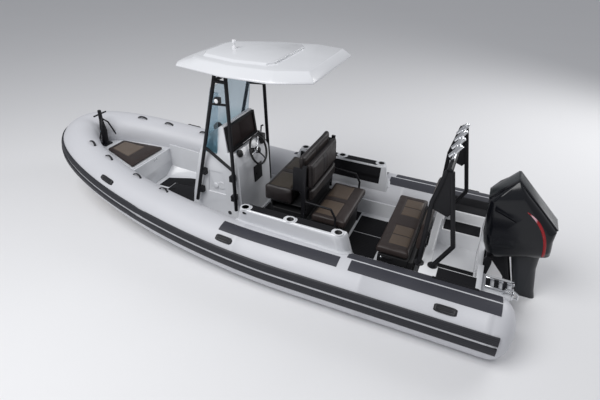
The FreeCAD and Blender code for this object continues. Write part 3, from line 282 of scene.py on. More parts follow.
def set_bump(tree, shader, height, strength, distance):
    bump = add_node(tree, "ShaderNodeBump")
    bump.inputs["Strength"].default_value = strength
    bump.inputs["Distance"].default_value = distance
    tree.links.new(height, bump.inputs["Height"])
    tree.links.new(bump.outputs["Normal"], shader.inputs["Normal"])
    return bump


def vary_roughness(tree, shader, mask, low, high):
    span = add_node(tree, "ShaderNodeMapRange")
    span.inputs["From Min"].default_value = MASK_LOW
    span.inputs["From Max"].default_value = MASK_HIGH
    span.inputs["To Min"].default_value = low
    span.inputs["To Max"].default_value = high
    tree.links.new(mask, span.inputs["Value"])
    tree.links.new(span.outputs["Result"], shader.inputs["Roughness"])


def plain_finish(name, color, rough, spread=0.08, coarse=5.0, fine=300.0, bump=0.1, depth=0.0004,
                 metallic=0.0, coat=0.0, shine=0.5):
    material, tree, shader = start_material(name, metallic=metallic, coat=coat)
    shader.inputs["Specular IOR Level"].default_value = shine
    tone = group_node(tree, mottle, Color=(*color, 1), Spread=spread, Coarse=coarse, Fine=fine)
    tree.links.new(tone.outputs["Color"], shader.inputs["Base Color"])
    vary_roughness(tree, shader, tone.outputs["Mask"], rough[0], rough[1])
    set_bump(tree, shader, tone.outputs["Height"], bump, depth)
    return material


gelcoat = plain_finish("gelcoat", (0.68, 0.69, 0.715), (0.16, 0.26), spread=0.04, coarse=2.0,
                       fine=60.0, bump=0.04, coat=0.3)
# The splashwell gets a paler copy of the same gelcoat: painted light that brightens the shaded well.
painted_light_well_gelcoat = plain_finish("painted_light_well_gelcoat", (0.84, 0.845, 0.86), (0.18, 0.28), spread=0.04, coarse=2.0,
                            fine=60.0, bump=0.04)
beige_gelcoat = plain_finish("beige_gelcoat", (0.62, 0.56, 0.47), (0.22, 0.34), spread=0.06, coarse=2.0,
                             bump=0.05)
tube_fabric = plain_finish("tube_fabric", (0.59, 0.595, 0.625), (0.40, 0.50), spread=0.05, coarse=3.0,
                           fine=900.0, bump=0.15, depth=0.0003)
stripe_rubber = plain_finish("stripe_rubber", (0.033, 0.034, 0.045), (0.50, 0.62), spread=0.12,
                             fine=500.0, bump=0.4, depth=0.0006)
handle_rubber = plain_finish("handle_rubber", (0.016, 0.016, 0.019), (0.45, 0.58), spread=0.15,
                             fine=400.0, bump=0.2)
deck_foam = plain_finish("deck_foam", (0.012, 0.012, 0.014), (0.78, 0.90), spread=0.20, fine=700.0,
                         bump=0.5, depth=0.0008, shine=0.2)
powder_coat = plain_finish("powder_coat", (0.010, 0.010, 0.012), (0.38, 0.50), spread=0.15, fine=900.0,
                           bump=0.25, shine=0.25)
black_plastic = plain_finish("black_plastic", (0.010, 0.010, 0.011), (0.48, 0.60), spread=0.15,
                             fine=700.0, bump=0.3, shine=0.25)
dark_vinyl = plain_finish("dark_vinyl", (0.030, 0.024, 0.023), (0.38, 0.50), spread=0.2, fine=420.0,
                          bump=0.35, depth=0.0006)
leg_paint = plain_finish("leg_paint", (0.014, 0.016, 0.020), (0.28, 0.40), spread=0.1, fine=500.0,
                         bump=0.15)
polished_steel = plain_finish("polished_steel", (0.72, 0.73, 0.75), (0.08, 0.18), spread=0.06,
                              metallic=1.0, bump=0.02)
prop_steel = plain_finish("prop_steel", (0.42, 0.42, 0.44), (0.22, 0.34), spread=0.1, metallic=1.0,
                          bump=0.05)
clear_lens = plain_finish("clear_lens", (0.86, 0.86, 0.88), (0.06, 0.12), spread=0.03, bump=0.01,
                          coat=0.6)
print("finishes", len(bpy.data.materials))

# %% [markdown]
# The screen round the console is a tinted acrylic sheet, clearer at the top and a deeper teal low down. The
# tint follows the height, read from Object coordinates.

# %% Tinted acrylic
TINT_FROM_Z = 1.05
TINT_TO_Z = 1.45
DEEP_TEAL = (0.22, 0.42, 0.50, 1)
PALE_TEAL = (0.66, 0.76, 0.82, 1)


def axis_ramp(tree, axis, low, high):
    place = tree.nodes.new("ShaderNodeTexCoord")
    parts = tree.nodes.new("ShaderNodeSeparateXYZ")
    tree.links.new(place.outputs["Object"], parts.inputs[0])
    ramp = add_node(tree, "ShaderNodeMapRange")
    ramp.inputs["From Min"].default_value = low
    ramp.inputs["From Max"].default_value = high
    tree.links.new(parts.outputs[axis], ramp.inputs["Value"])
    return ramp.outputs["Result"]


def mix_colors(tree, amount, first, second):
    blend = add_node(tree, "ShaderNodeMix", data_type="RGBA")
    tree.links.new(amount, blend.inputs[0])
    for socket, value in ((blend.inputs[6], first), (blend.inputs[7], second)):
        if isinstance(value, tuple):
            socket.default_value = value
        else:
            tree.links.new(value, socket)
    return blend.outputs[2]


def make_acrylic():
    material, tree, shader = start_material("tinted_acrylic", roughness=0.05)
    shader.inputs["Transmission Weight"].default_value = 0.92
    shader.inputs["IOR"].default_value = 1.12
    height = axis_ramp(tree, "Z", TINT_FROM_Z, TINT_TO_Z)
    tint = mix_colors(tree, height, DEEP_TEAL, PALE_TEAL)
    tone = group_node(tree, mottle, Spread=0.08, Coarse=3.0, Fine=40.0)
    tree.links.new(tint, tone.inputs["Color"])
    tree.links.new(tone.outputs["Color"], shader.inputs["Base Color"])
    return material


tinted_acrylic = make_acrylic()
print("acrylic tint ready")

# %% [markdown]
# The rubber strakes have fine ribs along their length. The ribs follow the boat's rising sheer, so the
# height is measured from a parabola along the boat. The same parabola shapes the tubes later on.

# %% Strake rubber
SHEER_FROM = 1.836
SHEER_RISE = 0.032
RIB_PITCH = 0.017
GROOVE_PAINTED_SHADE = (0.008, 0.008, 0.010, 1)
STRAKE_BLACK = (0.026, 0.027, 0.033, 1)


def make_strake():
    material, tree, shader = start_material("strake_rubber", roughness=0.5)
    shader.inputs["Specular IOR Level"].default_value = 0.35
    place = tree.nodes.new("ShaderNodeTexCoord")
    parts = tree.nodes.new("ShaderNodeSeparateXYZ")
    tree.links.new(place.outputs["Object"], parts.inputs[0])
    past = add_node(tree, "ShaderNodeMath", operation="SUBTRACT")
    past.inputs[1].default_value = SHEER_FROM
    ahead = add_node(tree, "ShaderNodeMath", operation="MAXIMUM")
    square = add_node(tree, "ShaderNodeMath", operation="MULTIPLY")
    rise = add_node(tree, "ShaderNodeMath", operation="MULTIPLY")
    rise.inputs[1].default_value = SHEER_RISE
    height = add_node(tree, "ShaderNodeMath", operation="SUBTRACT")
    turns = add_node(tree, "ShaderNodeMath", operation="MULTIPLY")
    turns.inputs[1].default_value = 2 * math.pi / RIB_PITCH
    wave = add_node(tree, "ShaderNodeMath", operation="SINE")
    tree.links.new(parts.outputs["X"], past.inputs[0])
    tree.links.new(past.outputs[0], ahead.inputs[0])
    tree.links.new(ahead.outputs[0], square.inputs[0])
    tree.links.new(ahead.outputs[0], square.inputs[1])
    tree.links.new(square.outputs[0], rise.inputs[0])
    tree.links.new(parts.outputs["Z"], height.inputs[0])
    tree.links.new(rise.outputs[0], height.inputs[1])
    tree.links.new(height.outputs[0], turns.inputs[0])
    tree.links.new(turns.outputs[0], wave.inputs[0])
    groove = add_node(tree, "ShaderNodeMapRange")
    groove.inputs["From Min"].default_value = -1.0
    groove.inputs["From Max"].default_value = -0.4
    tree.links.new(wave.outputs[0], groove.inputs["Value"])
    tone = group_node(tree, mottle, Color=STRAKE_BLACK, Spread=0.15, Coarse=5.0, Fine=400.0)
    # The grooves between the ribs are coloured darker: painted shade in the recesses.
    ribbed = mix_colors(tree, groove.outputs["Result"], GROOVE_PAINTED_SHADE, tone.outputs["Color"])
    tree.links.new(ribbed, shader.inputs["Base Color"])
    set_bump(tree, shader, groove.outputs["Result"], 0.6, 0.0015)
    return material


strake_rubber = make_strake()
print("strake rubber ready")

# %% [markdown]
# Some solids carry two finishes, such as a black wheel with bright spokes or a lamp with a clear cap. A
# group gives 1 inside a block, and the two finishes are mixed by it in one shader.

# %% Shared effect: block
SEAM_REACH = 0.004


def build_block():
    inputs = [("Place", "NodeSocketVector", (0, 0, 0)), ("Centre", "NodeSocketVector", (0, 0, 0)),
              ("Half", "NodeSocketVector", (0.1, 0.1, 0.1)), ("Edge", "NodeSocketFloat", 0.001)]
    outputs = [("Inside", "NodeSocketFloat"), ("Seam", "NodeSocketFloat")]
    tree, given, result = start_group("inside_block", inputs, outputs)
    away = add_node(tree, "ShaderNodeVectorMath", operation="SUBTRACT")
    tree.links.new(given.outputs["Place"], away.inputs[0])
    tree.links.new(given.outputs["Centre"], away.inputs[1])
    size = add_node(tree, "ShaderNodeVectorMath", operation="ABSOLUTE")
    tree.links.new(away.outputs[0], size.inputs[0])
    past = add_node(tree, "ShaderNodeVectorMath", operation="SUBTRACT")
    tree.links.new(size.outputs[0], past.inputs[0])
    tree.links.new(given.outputs["Half"], past.inputs[1])
    parts = tree.nodes.new("ShaderNodeSeparateXYZ")
    tree.links.new(past.outputs[0], parts.inputs[0])
    larger = add_node(tree, "ShaderNodeMath", operation="MAXIMUM")
    tree.links.new(parts.outputs["X"], larger.inputs[0])
    tree.links.new(parts.outputs["Y"], larger.inputs[1])
    largest = add_node(tree, "ShaderNodeMath", operation="MAXIMUM")
    tree.links.new(larger.outputs[0], largest.inputs[0])
    tree.links.new(parts.outputs["Z"], largest.inputs[1])
    opposite = add_node(tree, "ShaderNodeMath", operation="MULTIPLY")
    opposite.inputs[1].default_value = -1.0
    tree.links.new(given.outputs["Edge"], opposite.inputs[0])
    inside = add_node(tree, "ShaderNodeMapRange")
    tree.links.new(given.outputs["Edge"], inside.inputs["From Min"])
    tree.links.new(opposite.outputs[0], inside.inputs["From Max"])
    tree.links.new(largest.outputs[0], inside.inputs["Value"])
    nearness = add_node(tree, "ShaderNodeMath", operation="ABSOLUTE")
    tree.links.new(largest.outputs[0], nearness.inputs[0])
    seam = add_node(tree, "ShaderNodeMapRange")
    seam.inputs["From Min"].default_value = SEAM_REACH
    seam.inputs["From Max"].default_value = 0.0
    tree.links.new(nearness.outputs[0], seam.inputs["Value"])
    tree.links.new(inside.outputs["Result"], result.inputs["Inside"])
    tree.links.new(seam.outputs["Result"], result.inputs["Seam"])
    return tree


inside_block = build_block()
print("shared effect", inside_block.name)

# %% [markdown]
# A mask built from such blocks says where the second finish begins: the lamp's cap, the throttle lever's
# grip, the dash between its edges and the top of the motor's cover. On the red stripe a block marks a
# painted highlight, a pale pink patch that stands in for a glint of light. The wheel's mask is a shell
# round its middle.

# %% Two-part finishes
def block_mask(tree, low, high, edge=0.001):
    place = tree.nodes.new("ShaderNodeTexCoord")
    centre = [0.5 * (a + b) for a, b in zip(low, high)]
    half = [0.5 * (b - a) for a, b in zip(low, high)]
    patch = group_node(tree, inside_block, Centre=centre, Half=half, Edge=edge)
    tree.links.new(place.outputs["Object"], patch.inputs["Place"])
    return patch.outputs["Inside"]


def highest(tree, sockets):
    result = sockets[0]
    for socket in sockets[1:]:
        larger = add_node(tree, "ShaderNodeMath", operation="MAXIMUM")
        tree.links.new(result, larger.inputs[0])
        tree.links.new(socket, larger.inputs[1])
        result = larger.outputs[0]
    return result


def blended(tree, shader, label, amount, first, second):
    span = add_node(tree, "ShaderNodeMapRange")
    span.inputs["To Min"].default_value = first
    span.inputs["To Max"].default_value = second
    tree.links.new(amount, span.inputs["Value"])
    tree.links.new(span.outputs["Result"], shader.inputs[label])


def two_part(name, mask, first, second, rough=(0.45, 0.15), metal=(0.0, 0.0), bump=0.2, shine=0.4):
    material, tree, shader = start_material(name)
    shader.inputs["Specular IOR Level"].default_value = shine
    amount = mask(tree)
    tone = group_node(tree, mottle, Spread=0.12, Coarse=6.0, Fine=500.0)
    tree.links.new(mix_colors(tree, amount, (*first, 1), (*second, 1)), tone.inputs["Color"])
    tree.links.new(tone.outputs["Color"], shader.inputs["Base Color"])
    blended(tree, shader, "Roughness", amount, *rough)
    if metal != (0.0, 0.0):
        blended(tree, shader, "Metallic", amount, *metal)
    set_bump(tree, shader, tone.outputs["Height"], bump, 0.0004)
    return material


WHEEL_AT = (2.860, 0.0, 1.062)
WHEEL_RIM_FROM = 0.160
WHEEL_BOSS = 0.046
LAMP_CAP = ((2.5, -1.0, 2.2), (4.0, 1.0, 2.6))
LEVER_GRIP = ((2.90, -0.325, 1.153), (3.00, -0.24, 1.262))
DASH_PANEL = ((2.9, -0.299, 1.165), (3.3, 0.299, 1.40))
# The stripe's block is a painted highlight, not a second paint.
STRIPE_PAINTED_HIGHLIGHT = ((-0.345, -1.0, 1.0), (-0.285, 1.0, 1.3))
COVER_TOP = ((-1.2, -0.080, 0.985), (0.3, 0.080, 1.6))


def wheel_mask(tree):
    place = tree.nodes.new("ShaderNodeTexCoord")
    gap = add_node(tree, "ShaderNodeVectorMath", operation="DISTANCE")
    gap.inputs[1].default_value = WHEEL_AT
    tree.links.new(place.outputs["Object"], gap.inputs[0])
    outer = add_node(tree, "ShaderNodeMath", operation="LESS_THAN")
    outer.inputs[1].default_value = WHEEL_RIM_FROM
    inner = add_node(tree, "ShaderNodeMath", operation="GREATER_THAN")
    inner.inputs[1].default_value = WHEEL_BOSS
    both = add_node(tree, "ShaderNodeMath", operation="MULTIPLY")
    for node, slot in ((outer, 0), (inner, 1)):
        tree.links.new(gap.outputs["Value"], node.inputs[0])
        tree.links.new(node.outputs[0], both.inputs[slot])
    return both.outputs[0]


def lamp_mask(tree):
    return block_mask(tree, *LAMP_CAP)


def lever_mask(tree):
    return block_mask(tree, *LEVER_GRIP)


def dash_mask(tree):
    return block_mask(tree, *DASH_PANEL)


def painted_highlight_mask(tree):
    return block_mask(tree, *STRIPE_PAINTED_HIGHLIGHT, edge=0.012)


def cowl_mask(tree):
    return block_mask(tree, *COVER_TOP, edge=0.004)


RIM_BLACK = (0.010, 0.010, 0.011)
wheel_trim = two_part("wheel_trim", wheel_mask, RIM_BLACK, (0.60, 0.61, 0.63), rough=(0.45, 0.16),
                      metal=(0.0, 1.0))
lamp_trim = two_part("lamp_trim", lamp_mask, (0.012, 0.012, 0.013), (0.80, 0.80, 0.82))
lever_trim = two_part("lever_trim", lever_mask, RIM_BLACK, (0.62, 0.62, 0.64), rough=(0.45, 0.14),
                      metal=(0.0, 1.0))
dash_face = two_part("dash_face", dash_mask, (0.008, 0.008, 0.009), (0.013, 0.0065, 0.0065),
                     rough=(0.55, 0.5), bump=0.1, shine=0.15)
motor_paint = two_part("motor_paint", cowl_mask, (0.0045, 0.0052, 0.0075), (0.020, 0.024, 0.026),
                       rough=(0.17, 0.26), bump=0.03)
# The pale pink patch on the red stripe is a painted highlight that stands in for a glint of light.
red_with_painted_highlight = two_part("red_with_painted_highlight", painted_highlight_mask, (0.30, 0.006, 0.010), (0.72, 0.42, 0.48),
                      rough=(0.2, 0.12), bump=0.02)
print("two-part finishes ready")

# %% [markdown]
# The foam pads have fine ribs and are cut into panels. The narrow gaps between the panels show the white
# deck.

# %% Ribbed foam
FOAM_BLACK = (0.012, 0.012, 0.014, 1)
FOAM_GROOVE_PAINTED_SHADE = (0.004, 0.004, 0.005, 1)
DECK_WHITE = (0.60, 0.61, 0.63, 1)
PAD_GAPS = [((1.15, -0.169, 0.0), (2.20, -0.161, 0.2)), ((2.58, -0.004, 0.0), (2.87, 0.004, 0.2))]


def make_ribbed():
    material, tree, shader = start_material("ribbed_foam", roughness=0.85)
    shader.inputs["Specular IOR Level"].default_value = 0.2
    place = tree.nodes.new("ShaderNodeTexCoord")
    ribs = add_node(tree, "ShaderNodeTexWave", Scale=10.0)
    ribs.bands_direction = "Y"
    tree.links.new(place.outputs["Object"], ribs.inputs["Vector"])
    tone = group_node(tree, mottle, Color=FOAM_BLACK, Spread=0.25, Coarse=5.0, Fine=700.0)
    groove = add_node(tree, "ShaderNodeMapRange")
    groove.inputs["From Min"].default_value = 0.0
    groove.inputs["From Max"].default_value = 0.25
    tree.links.new(ribs.outputs["Fac"], groove.inputs["Value"])
    # The grooves between the ribs are coloured darker: painted shade in the recesses.
    ribbed = mix_colors(tree, groove.outputs["Result"], FOAM_GROOVE_PAINTED_SHADE, tone.outputs["Color"])
    gap = highest(tree, [block_mask(tree, low, high) for low, high in PAD_GAPS])
    tree.links.new(mix_colors(tree, gap, ribbed, DECK_WHITE), shader.inputs["Base Color"])
    set_bump(tree, shader, groove.outputs["Result"], 0.5, 0.001)
    return material


ribbed_foam = make_ribbed()
print("ribbed foam ready")

# %% [markdown]
# The buoyancy tubes are glued fabric. Each is a smooth skin along the boat's curve with a tapered after
# end, and low tapes where its panels are joined.

# %% Path of the tubes
TUBE_RADIUS = 0.308
BOW_RADIUS = 0.242
TUBE_Y = 0.973
TUBE_Z = 0.270
CURVE_FROM = 2.115
BOW_X = 5.704
PATH_CORNERS = ((CURVE_FROM, TUBE_Y), (3.105, TUBE_Y), (BOW_X, 0.843), (BOW_X, 0.0))
PATH_STEP = 0.002


def path_at(t):
    u = 1 - t
    weights = (u ** 3, 3 * u * u * t, 3 * u * t * t, t ** 3)
    x = sum(w * c[0] for w, c in zip(weights, PATH_CORNERS))
    y = sum(w * c[1] for w, c in zip(weights, PATH_CORNERS))
    return Vector((x, y, TUBE_Z + SHEER_RISE * max(0.0, x - SHEER_FROM) ** 2))


def path_frame(t):
    if t >= 1:
        ahead = Vector((0, -1, 0))
    elif t <= 0:
        ahead = Vector((1, 0, 2 * SHEER_RISE * (CURVE_FROM - SHEER_FROM))).normalized()
    else:
        ahead = (path_at(min(1.0, t + PATH_STEP)) - path_at(t - PATH_STEP)).normalized()
    outward = Vector((-ahead.y, ahead.x, 0)).normalized()
    return ahead, outward, ahead.cross(outward)


def path_radius(x):
    share = min(1.0, max(0.0, (x - CURVE_FROM) / (BOW_X - CURVE_FROM)))
    return TUBE_RADIUS + (BOW_RADIUS - TUBE_RADIUS) * share


def t_of(x):
    low, high = 0.0, 1.0
    for _ in range(30):
        middle = 0.5 * (low + high)
        if path_at(middle).x < x:
            low = middle
        else:
            high = middle
    return 0.5 * (low + high)


def tube_frame(x):
    if x >= CURVE_FROM:
        t = t_of(x)
        ahead, outward, up = path_frame(t)
        return path_at(t), ahead, outward, up, path_radius(x)
    rise = max(0.0, x - SHEER_FROM)
    centre = Vector((x, TUBE_Y, TUBE_Z + SHEER_RISE * rise ** 2))
    ahead = Vector((1, 0, 2 * SHEER_RISE * rise)).normalized()
    outward = Vector((0, 1, 0))
    return centre, ahead, outward, ahead.cross(outward), TUBE_RADIUS


print("bow end of the path", tuple(round(v, 3) for v in path_at(1.0)))

# %% [markdown]
# A side tube is a skin over rings: the tapered after end, the straight run and the start of the curve. A
# tape is a pair of close rings at each of its edges, where the skin steps out by about a millimetre. The
# bow tube takes the path on from the joint and mirrors it past the middle.

# %% Tubes
TAPE_RISE = 0.0012
TAPE_EDGE = 0.002
TAPES = [(-0.13, -0.08), (1.10, 1.15), (2.55, 2.60)]
STATIONS = (-0.16, 0.3, 0.7, 1.6, SHEER_FROM, 2.0, CURVE_FROM, 2.4, 2.7, 3.0, 3.2, 3.4)
ROUND_STEPS = 56
DOME_FROM = -0.160
DOME_LENGTH = 0.210
DOME_RINGS = 9
DOME_TURN = 86.0
DOME_FULLNESS = 0.92
CURVE_RINGS_FROM = 3.45
JOINT_T = 0.45
BOW_RINGS = 20


def ring_along(centre, outward, up, radius):
    return circle_points(centre, outward, up, radius, ROUND_STEPS)


def ring_at(t):
    ahead, outward, up = path_frame(t)
    centre = path_at(t)
    return ring_along(centre, outward, up, path_radius(centre.x))


def mirrored(loop):
    return [Vector((p.x, -p.y, p.z)) for p in loop]


def dome_ring(k):
    angle = math.radians(DOME_TURN - DOME_TURN * k / DOME_RINGS)
    centre = Vector((DOME_FROM - DOME_LENGTH * math.sin(angle) ** DOME_FULLNESS, TUBE_Y, TUBE_Z))
    radius = TUBE_RADIUS * math.cos(angle) ** DOME_FULLNESS
    return ring_along(centre, Vector((0, 1, 0)), Vector((0, 0, 1)), radius)


def side_tube_rings():
    loops = [dome_ring(k) for k in range(DOME_RINGS)]
    places = [(x, 0.0) for x in STATIONS]
    for low, high in TAPES:
        places += [(low - TAPE_EDGE, 0), (low, TAPE_RISE), (high, TAPE_RISE), (high + TAPE_EDGE, 0)]
    for x, rise in sorted(places):
        centre, ahead, outward, up, radius = tube_frame(x)
        loops.append(ring_along(centre, outward, up, radius + rise))
    t_low = t_of(CURVE_RINGS_FROM)
    loops += [ring_at(t_low + (JOINT_T - t_low) * k / 4) for k in range(5)]
    return loops


def bow_tube_rings():
    half = [ring_at(JOINT_T + (1 - JOINT_T) * k / BOW_RINGS) for k in range(BOW_RINGS + 1)]
    return half + [mirrored(loop) for loop in reversed(half[:-1])]


def fabric_tube(name, node, loops):
    mesh = bmesh.new()
    rings = skin(mesh, loops)
    for edge in rings[0] + rings[-1]:
        edge.smooth = False
    piece = new_piece(name, mesh, tube_fabric)
    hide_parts(node)
    return piece


def make_tubes():
    port_loops = side_tube_rings()
    starboard_loops = [mirrored(loop) for loop in port_loops]
    return [fabric_tube("fabric_tube_port", "tube_port", port_loops),
            fabric_tube("fabric_tube_starboard", "tube_starboard", starboard_loops),
            fabric_tube("fabric_tube_bow", "tube_bow", bow_tube_rings())]


fabric_tubes = make_tubes()
print("tubes", [len(piece.data.polygons) for piece in fabric_tubes])

# %% [markdown]
# Upholstery is dark brown vinyl with paler taupe panels let into it. The vinyl's grain is a fine cell
# pattern. Panels lighten the colour, and their seams darken it.

# %% Upholstery
VINYL = (0.032, 0.023, 0.021, 1)
TAUPE = (0.095, 0.070, 0.052, 1)
BACK_VINYL = (0.020, 0.016, 0.016, 1)
BACK_TAUPE = (0.028, 0.021, 0.019, 1)
HELM_TAUPE = (0.045, 0.036, 0.026, 1)
BOW_TAUPE = (0.125, 0.098, 0.078, 1)
STITCH = (0.012, 0.010, 0.009, 1)
ANY_DEPTH = (-99.0, 99.0)
BOW_TAPER = 0.16
ALONG_X = 0
ALONG_Z = 2


def tapered_place(tree, place, low, taper):
    parts = tree.nodes.new("ShaderNodeSeparateXYZ")
    tree.links.new(place, parts.inputs[0])
    beam = add_node(tree, "ShaderNodeMath", operation="ABSOLUTE")
    tree.links.new(parts.outputs["Y"], beam.inputs[0])
    extra = add_node(tree, "ShaderNodeMath", operation="MULTIPLY_ADD")
    tree.links.new(parts.outputs["X"], extra.inputs[0])
    extra.inputs[1].default_value = taper
    extra.inputs[2].default_value = -taper * low
    total = add_node(tree, "ShaderNodeMath", operation="ADD")
    tree.links.new(beam.outputs[0], total.inputs[0])
    tree.links.new(extra.outputs[0], total.inputs[1])
    joined = tree.nodes.new("ShaderNodeCombineXYZ")
    tree.links.new(parts.outputs["X"], joined.inputs["X"])
    tree.links.new(total.outputs[0], joined.inputs["Y"])
    return joined.outputs[0]


def make_upholstery(name, panels, spare_axis, vinyl=VINYL, taupe=TAUPE, taper=0.0, front=ANY_DEPTH):
    material, tree, shader = start_material(name, roughness=0.45)
    shader.inputs["Specular IOR Level"].default_value = 0.35
    place = tree.nodes.new("ShaderNodeTexCoord")
    grain = add_node(tree, "ShaderNodeTexVoronoi", Scale=520.0)
    tree.links.new(place.outputs["Object"], grain.inputs["Vector"])
    dark = group_node(tree, mottle, Color=vinyl, Spread=0.35, Coarse=7.0, Fine=90.0)
    pale = group_node(tree, mottle, Color=taupe, Spread=0.22, Coarse=9.0, Fine=260.0)
    insides = []
    seams = []
    for low_a, high_a, low_b, high_b in panels:
        centre = [0.5 * (low_a + high_a), 0.5 * (low_b + high_b)]
        half = [0.5 * (high_a - low_a), 0.5 * (high_b - low_b)]
        centre.insert(spare_axis, 0.5 * (front[0] + front[1]))
        half.insert(spare_axis, 0.5 * (front[1] - front[0]))
        patch = group_node(tree, inside_block, Centre=centre, Half=half)
        where = place.outputs["Object"]
        if taper:
            where = tapered_place(tree, where, low_a, taper)
        tree.links.new(where, patch.inputs["Place"])
        insides.append(patch.outputs["Inside"])
        seams.append(patch.outputs["Seam"])
    panelled = mix_colors(tree, highest(tree, insides), dark.outputs["Color"], pale.outputs["Color"])
    stitched = mix_colors(tree, highest(tree, seams), panelled, STITCH)
    tree.links.new(stitched, shader.inputs["Base Color"])
    vary_roughness(tree, shader, dark.outputs["Mask"], 0.36, 0.52)
    set_bump(tree, shader, grain.outputs["Distance"], 0.35, 0.0006)
    return material


HELM_PANELS = [(2.235, 2.50, 0.045, 0.385), (2.235, 2.50, -0.385, -0.045)]
AFT_PANELS = [(1.665, 1.925, 0.045, 0.365), (1.665, 1.925, -0.365, -0.045)]
BENCH_PANELS = [(0.79, 1.005, 0.115, 0.300), (0.79, 1.005, 0.310, 0.495), (0.79, 1.005, -0.300, -0.115),
                (0.79, 1.005, -0.495, -0.310)]
BOW_PANELS = [(4.872, 5.190, -0.176, 0.176)]
BACK_PANELS = [(0.05, 0.38, 0.985, 1.27), (-0.38, -0.05, 0.985, 1.27)]
AFT_BACK_PANELS = [(0.05, 0.36, 0.965, 1.20), (-0.36, -0.05, 0.965, 1.20)]
BENCH_BACK_PANELS = [(0.11, 0.50, 0.66, 0.90), (-0.50, -0.11, 0.66, 0.90)]
upholstery = {
    "helm": make_upholstery("upholstery_helm", HELM_PANELS, ALONG_Z, BACK_VINYL, HELM_TAUPE),
    "aft": make_upholstery("upholstery_aft", AFT_PANELS, ALONG_Z),
    "bench": make_upholstery("upholstery_bench", BENCH_PANELS, ALONG_Z),
    "bow": make_upholstery("upholstery_bow", BOW_PANELS, ALONG_Z, taupe=BOW_TAUPE, taper=BOW_TAPER),
    "back": make_upholstery("upholstery_back", BACK_PANELS, ALONG_X, BACK_VINYL, BACK_TAUPE),
    "aft_back": make_upholstery("upholstery_aft_back", AFT_BACK_PANELS, ALONG_X, BACK_VINYL, BACK_TAUPE),
    "bench_back": make_upholstery("upholstery_bench_back", BENCH_BACK_PANELS, ALONG_X,
                                  front=(0.655, 1.655)),
}
print("upholstery", sorted(upholstery))

# %% [markdown]
# Every pad starts as a block with rounded edges, a little smaller than its place. It is remeshed, then
# swells as cloth under pressure from inside. How far a point may move is capped, so the pad keeps its
# place.

# %% Pad blanks
BASE_GAP = 0.003
SWELL_ROOM = 0.010
LID_SLOPE = math.radians(6.5)
LID_HINGE_X = 4.66


def pad_outline(corners, height, inset):
    middle = sum((Vector(c) for c in corners), Vector((0, 0))) / len(corners)
    return [Vector((*(middle + (Vector(c) - middle) * inset), height)) for c in corners]


def pad_blank(name, corners, depth, place, shrink=0.975, edge=0.022):
    mesh = bmesh.new()
    levels = (BASE_GAP, depth - SWELL_ROOM)
    skin(mesh, [pad_outline(corners, level, shrink) for level in levels])
    bmesh.ops.recalc_face_normals(mesh, faces=mesh.faces[:])
    bmesh.ops.bevel(mesh, geom=mesh.edges[:], offset=min(edge, 0.4 * depth), segments=3, profile=0.5,
                    affect="EDGES", material=-1)
    bmesh.ops.transform(mesh, matrix=place, verts=mesh.verts[:])
    return new_piece(name, mesh, dark_vinyl)


def rectangle(low_a, high_a, low_b, high_b):
    return [(low_a, low_b), (high_a, low_b), (high_a, high_b), (low_a, high_b)]


def upright(x, z, lean, facing):
    stand = Matrix(((0, 0, facing), (facing, 0, 0), (0, 1, 0))).to_4x4()
    return Matrix.Translation((x, 0, z)) @ Matrix.Rotation(math.radians(lean), 4, "Y") @ stand


def flat_at(z):
    return Matrix.Translation((0, 0, z))


def on_fore_lid():
    hinge = Matrix.Translation((LID_HINGE_X, 0, 0.5032))
    back = Matrix.Translation((-LID_HINGE_X, 0, 0.0143))
    return hinge @ Matrix.Rotation(-LID_SLOPE, 4, "Y") @ back


pads = {}


def add_pad(name, node, kind, cap, corners, depth, place, **shape):
    pads[name] = (pad_blank(name, corners, depth, place, **shape), node, kind, cap)


BOW_CORNERS = [(4.672, 0.342), (5.272, 0.166), (5.272, -0.166), (4.672, -0.342)]
add_pad("pad_helm", "helm_cushion", "helm", 0.012, rectangle(2.200, 2.565, -0.445, 0.445), 0.207,
        flat_at(0.6603))
add_pad("pad_aft", "aft_seat_cushion", "aft", 0.012, rectangle(1.520, 1.965, -0.445, 0.445), 0.107,
        flat_at(0.5153))
add_pad("pad_bench", "bench_cushion", "bench", 0.012, rectangle(0.745, 1.125, -0.624, 0.624), 0.0957,
        flat_at(0.4703))
add_pad("pad_bow", "bow_cushion", "bow", 0.008, BOW_CORNERS, 0.056, on_fore_lid(), shrink=0.992, edge=0.014)
add_pad("pad_helm_back", "helm_backrest", "back", 0.011, rectangle(-0.435, 0.435, 0.0, 0.395), 0.074,
        upright(2.0588, 0.930, 2.12, 1))
add_pad("pad_aft_back", "aft_backrest", "aft_back", 0.011, rectangle(-0.440, 0.440, 0.0, 0.320), 0.068,
        upright(2.0224, 0.925, 3.18, -1))
add_pad("pad_aft_low", "aft_backrest", "aft_back", 0.010, rectangle(-0.415, 0.415, 0.0, 0.150), 0.064,
        upright(2.0133, 0.760, 3.18, -1))
add_pad("pad_bench_back", "bench_backrest", "bench_back", 0.011, rectangle(-0.590, 0.590, 0.0, 0.350),
        0.072, upright(0.648, 0.605, -5.0, 1))
print("pad blanks", sorted(pads))

# %% [markdown]
# All pads are simulated together. The cloth's result is read back once, capped and written to the mesh, and
# the cloth is removed.

# %% Swelling the pads
VOXEL = 0.014
PRESSURE = 4.0
CLOTH_STEPS = 20


def bake_modifiers(piece):
    shape = piece.evaluated_get(bpy.context.evaluated_depsgraph_get())
    fresh = bpy.data.meshes.new_from_object(shape)
    fresh.name = piece.name
    piece.modifiers.clear()
    piece.data = fresh


def remesh(piece):
    voxels = piece.modifiers.new("voxels", "REMESH")
    voxels.mode = "VOXEL"
    voxels.voxel_size = VOXEL
    voxels.use_smooth_shade = True
    bake_modifiers(piece)


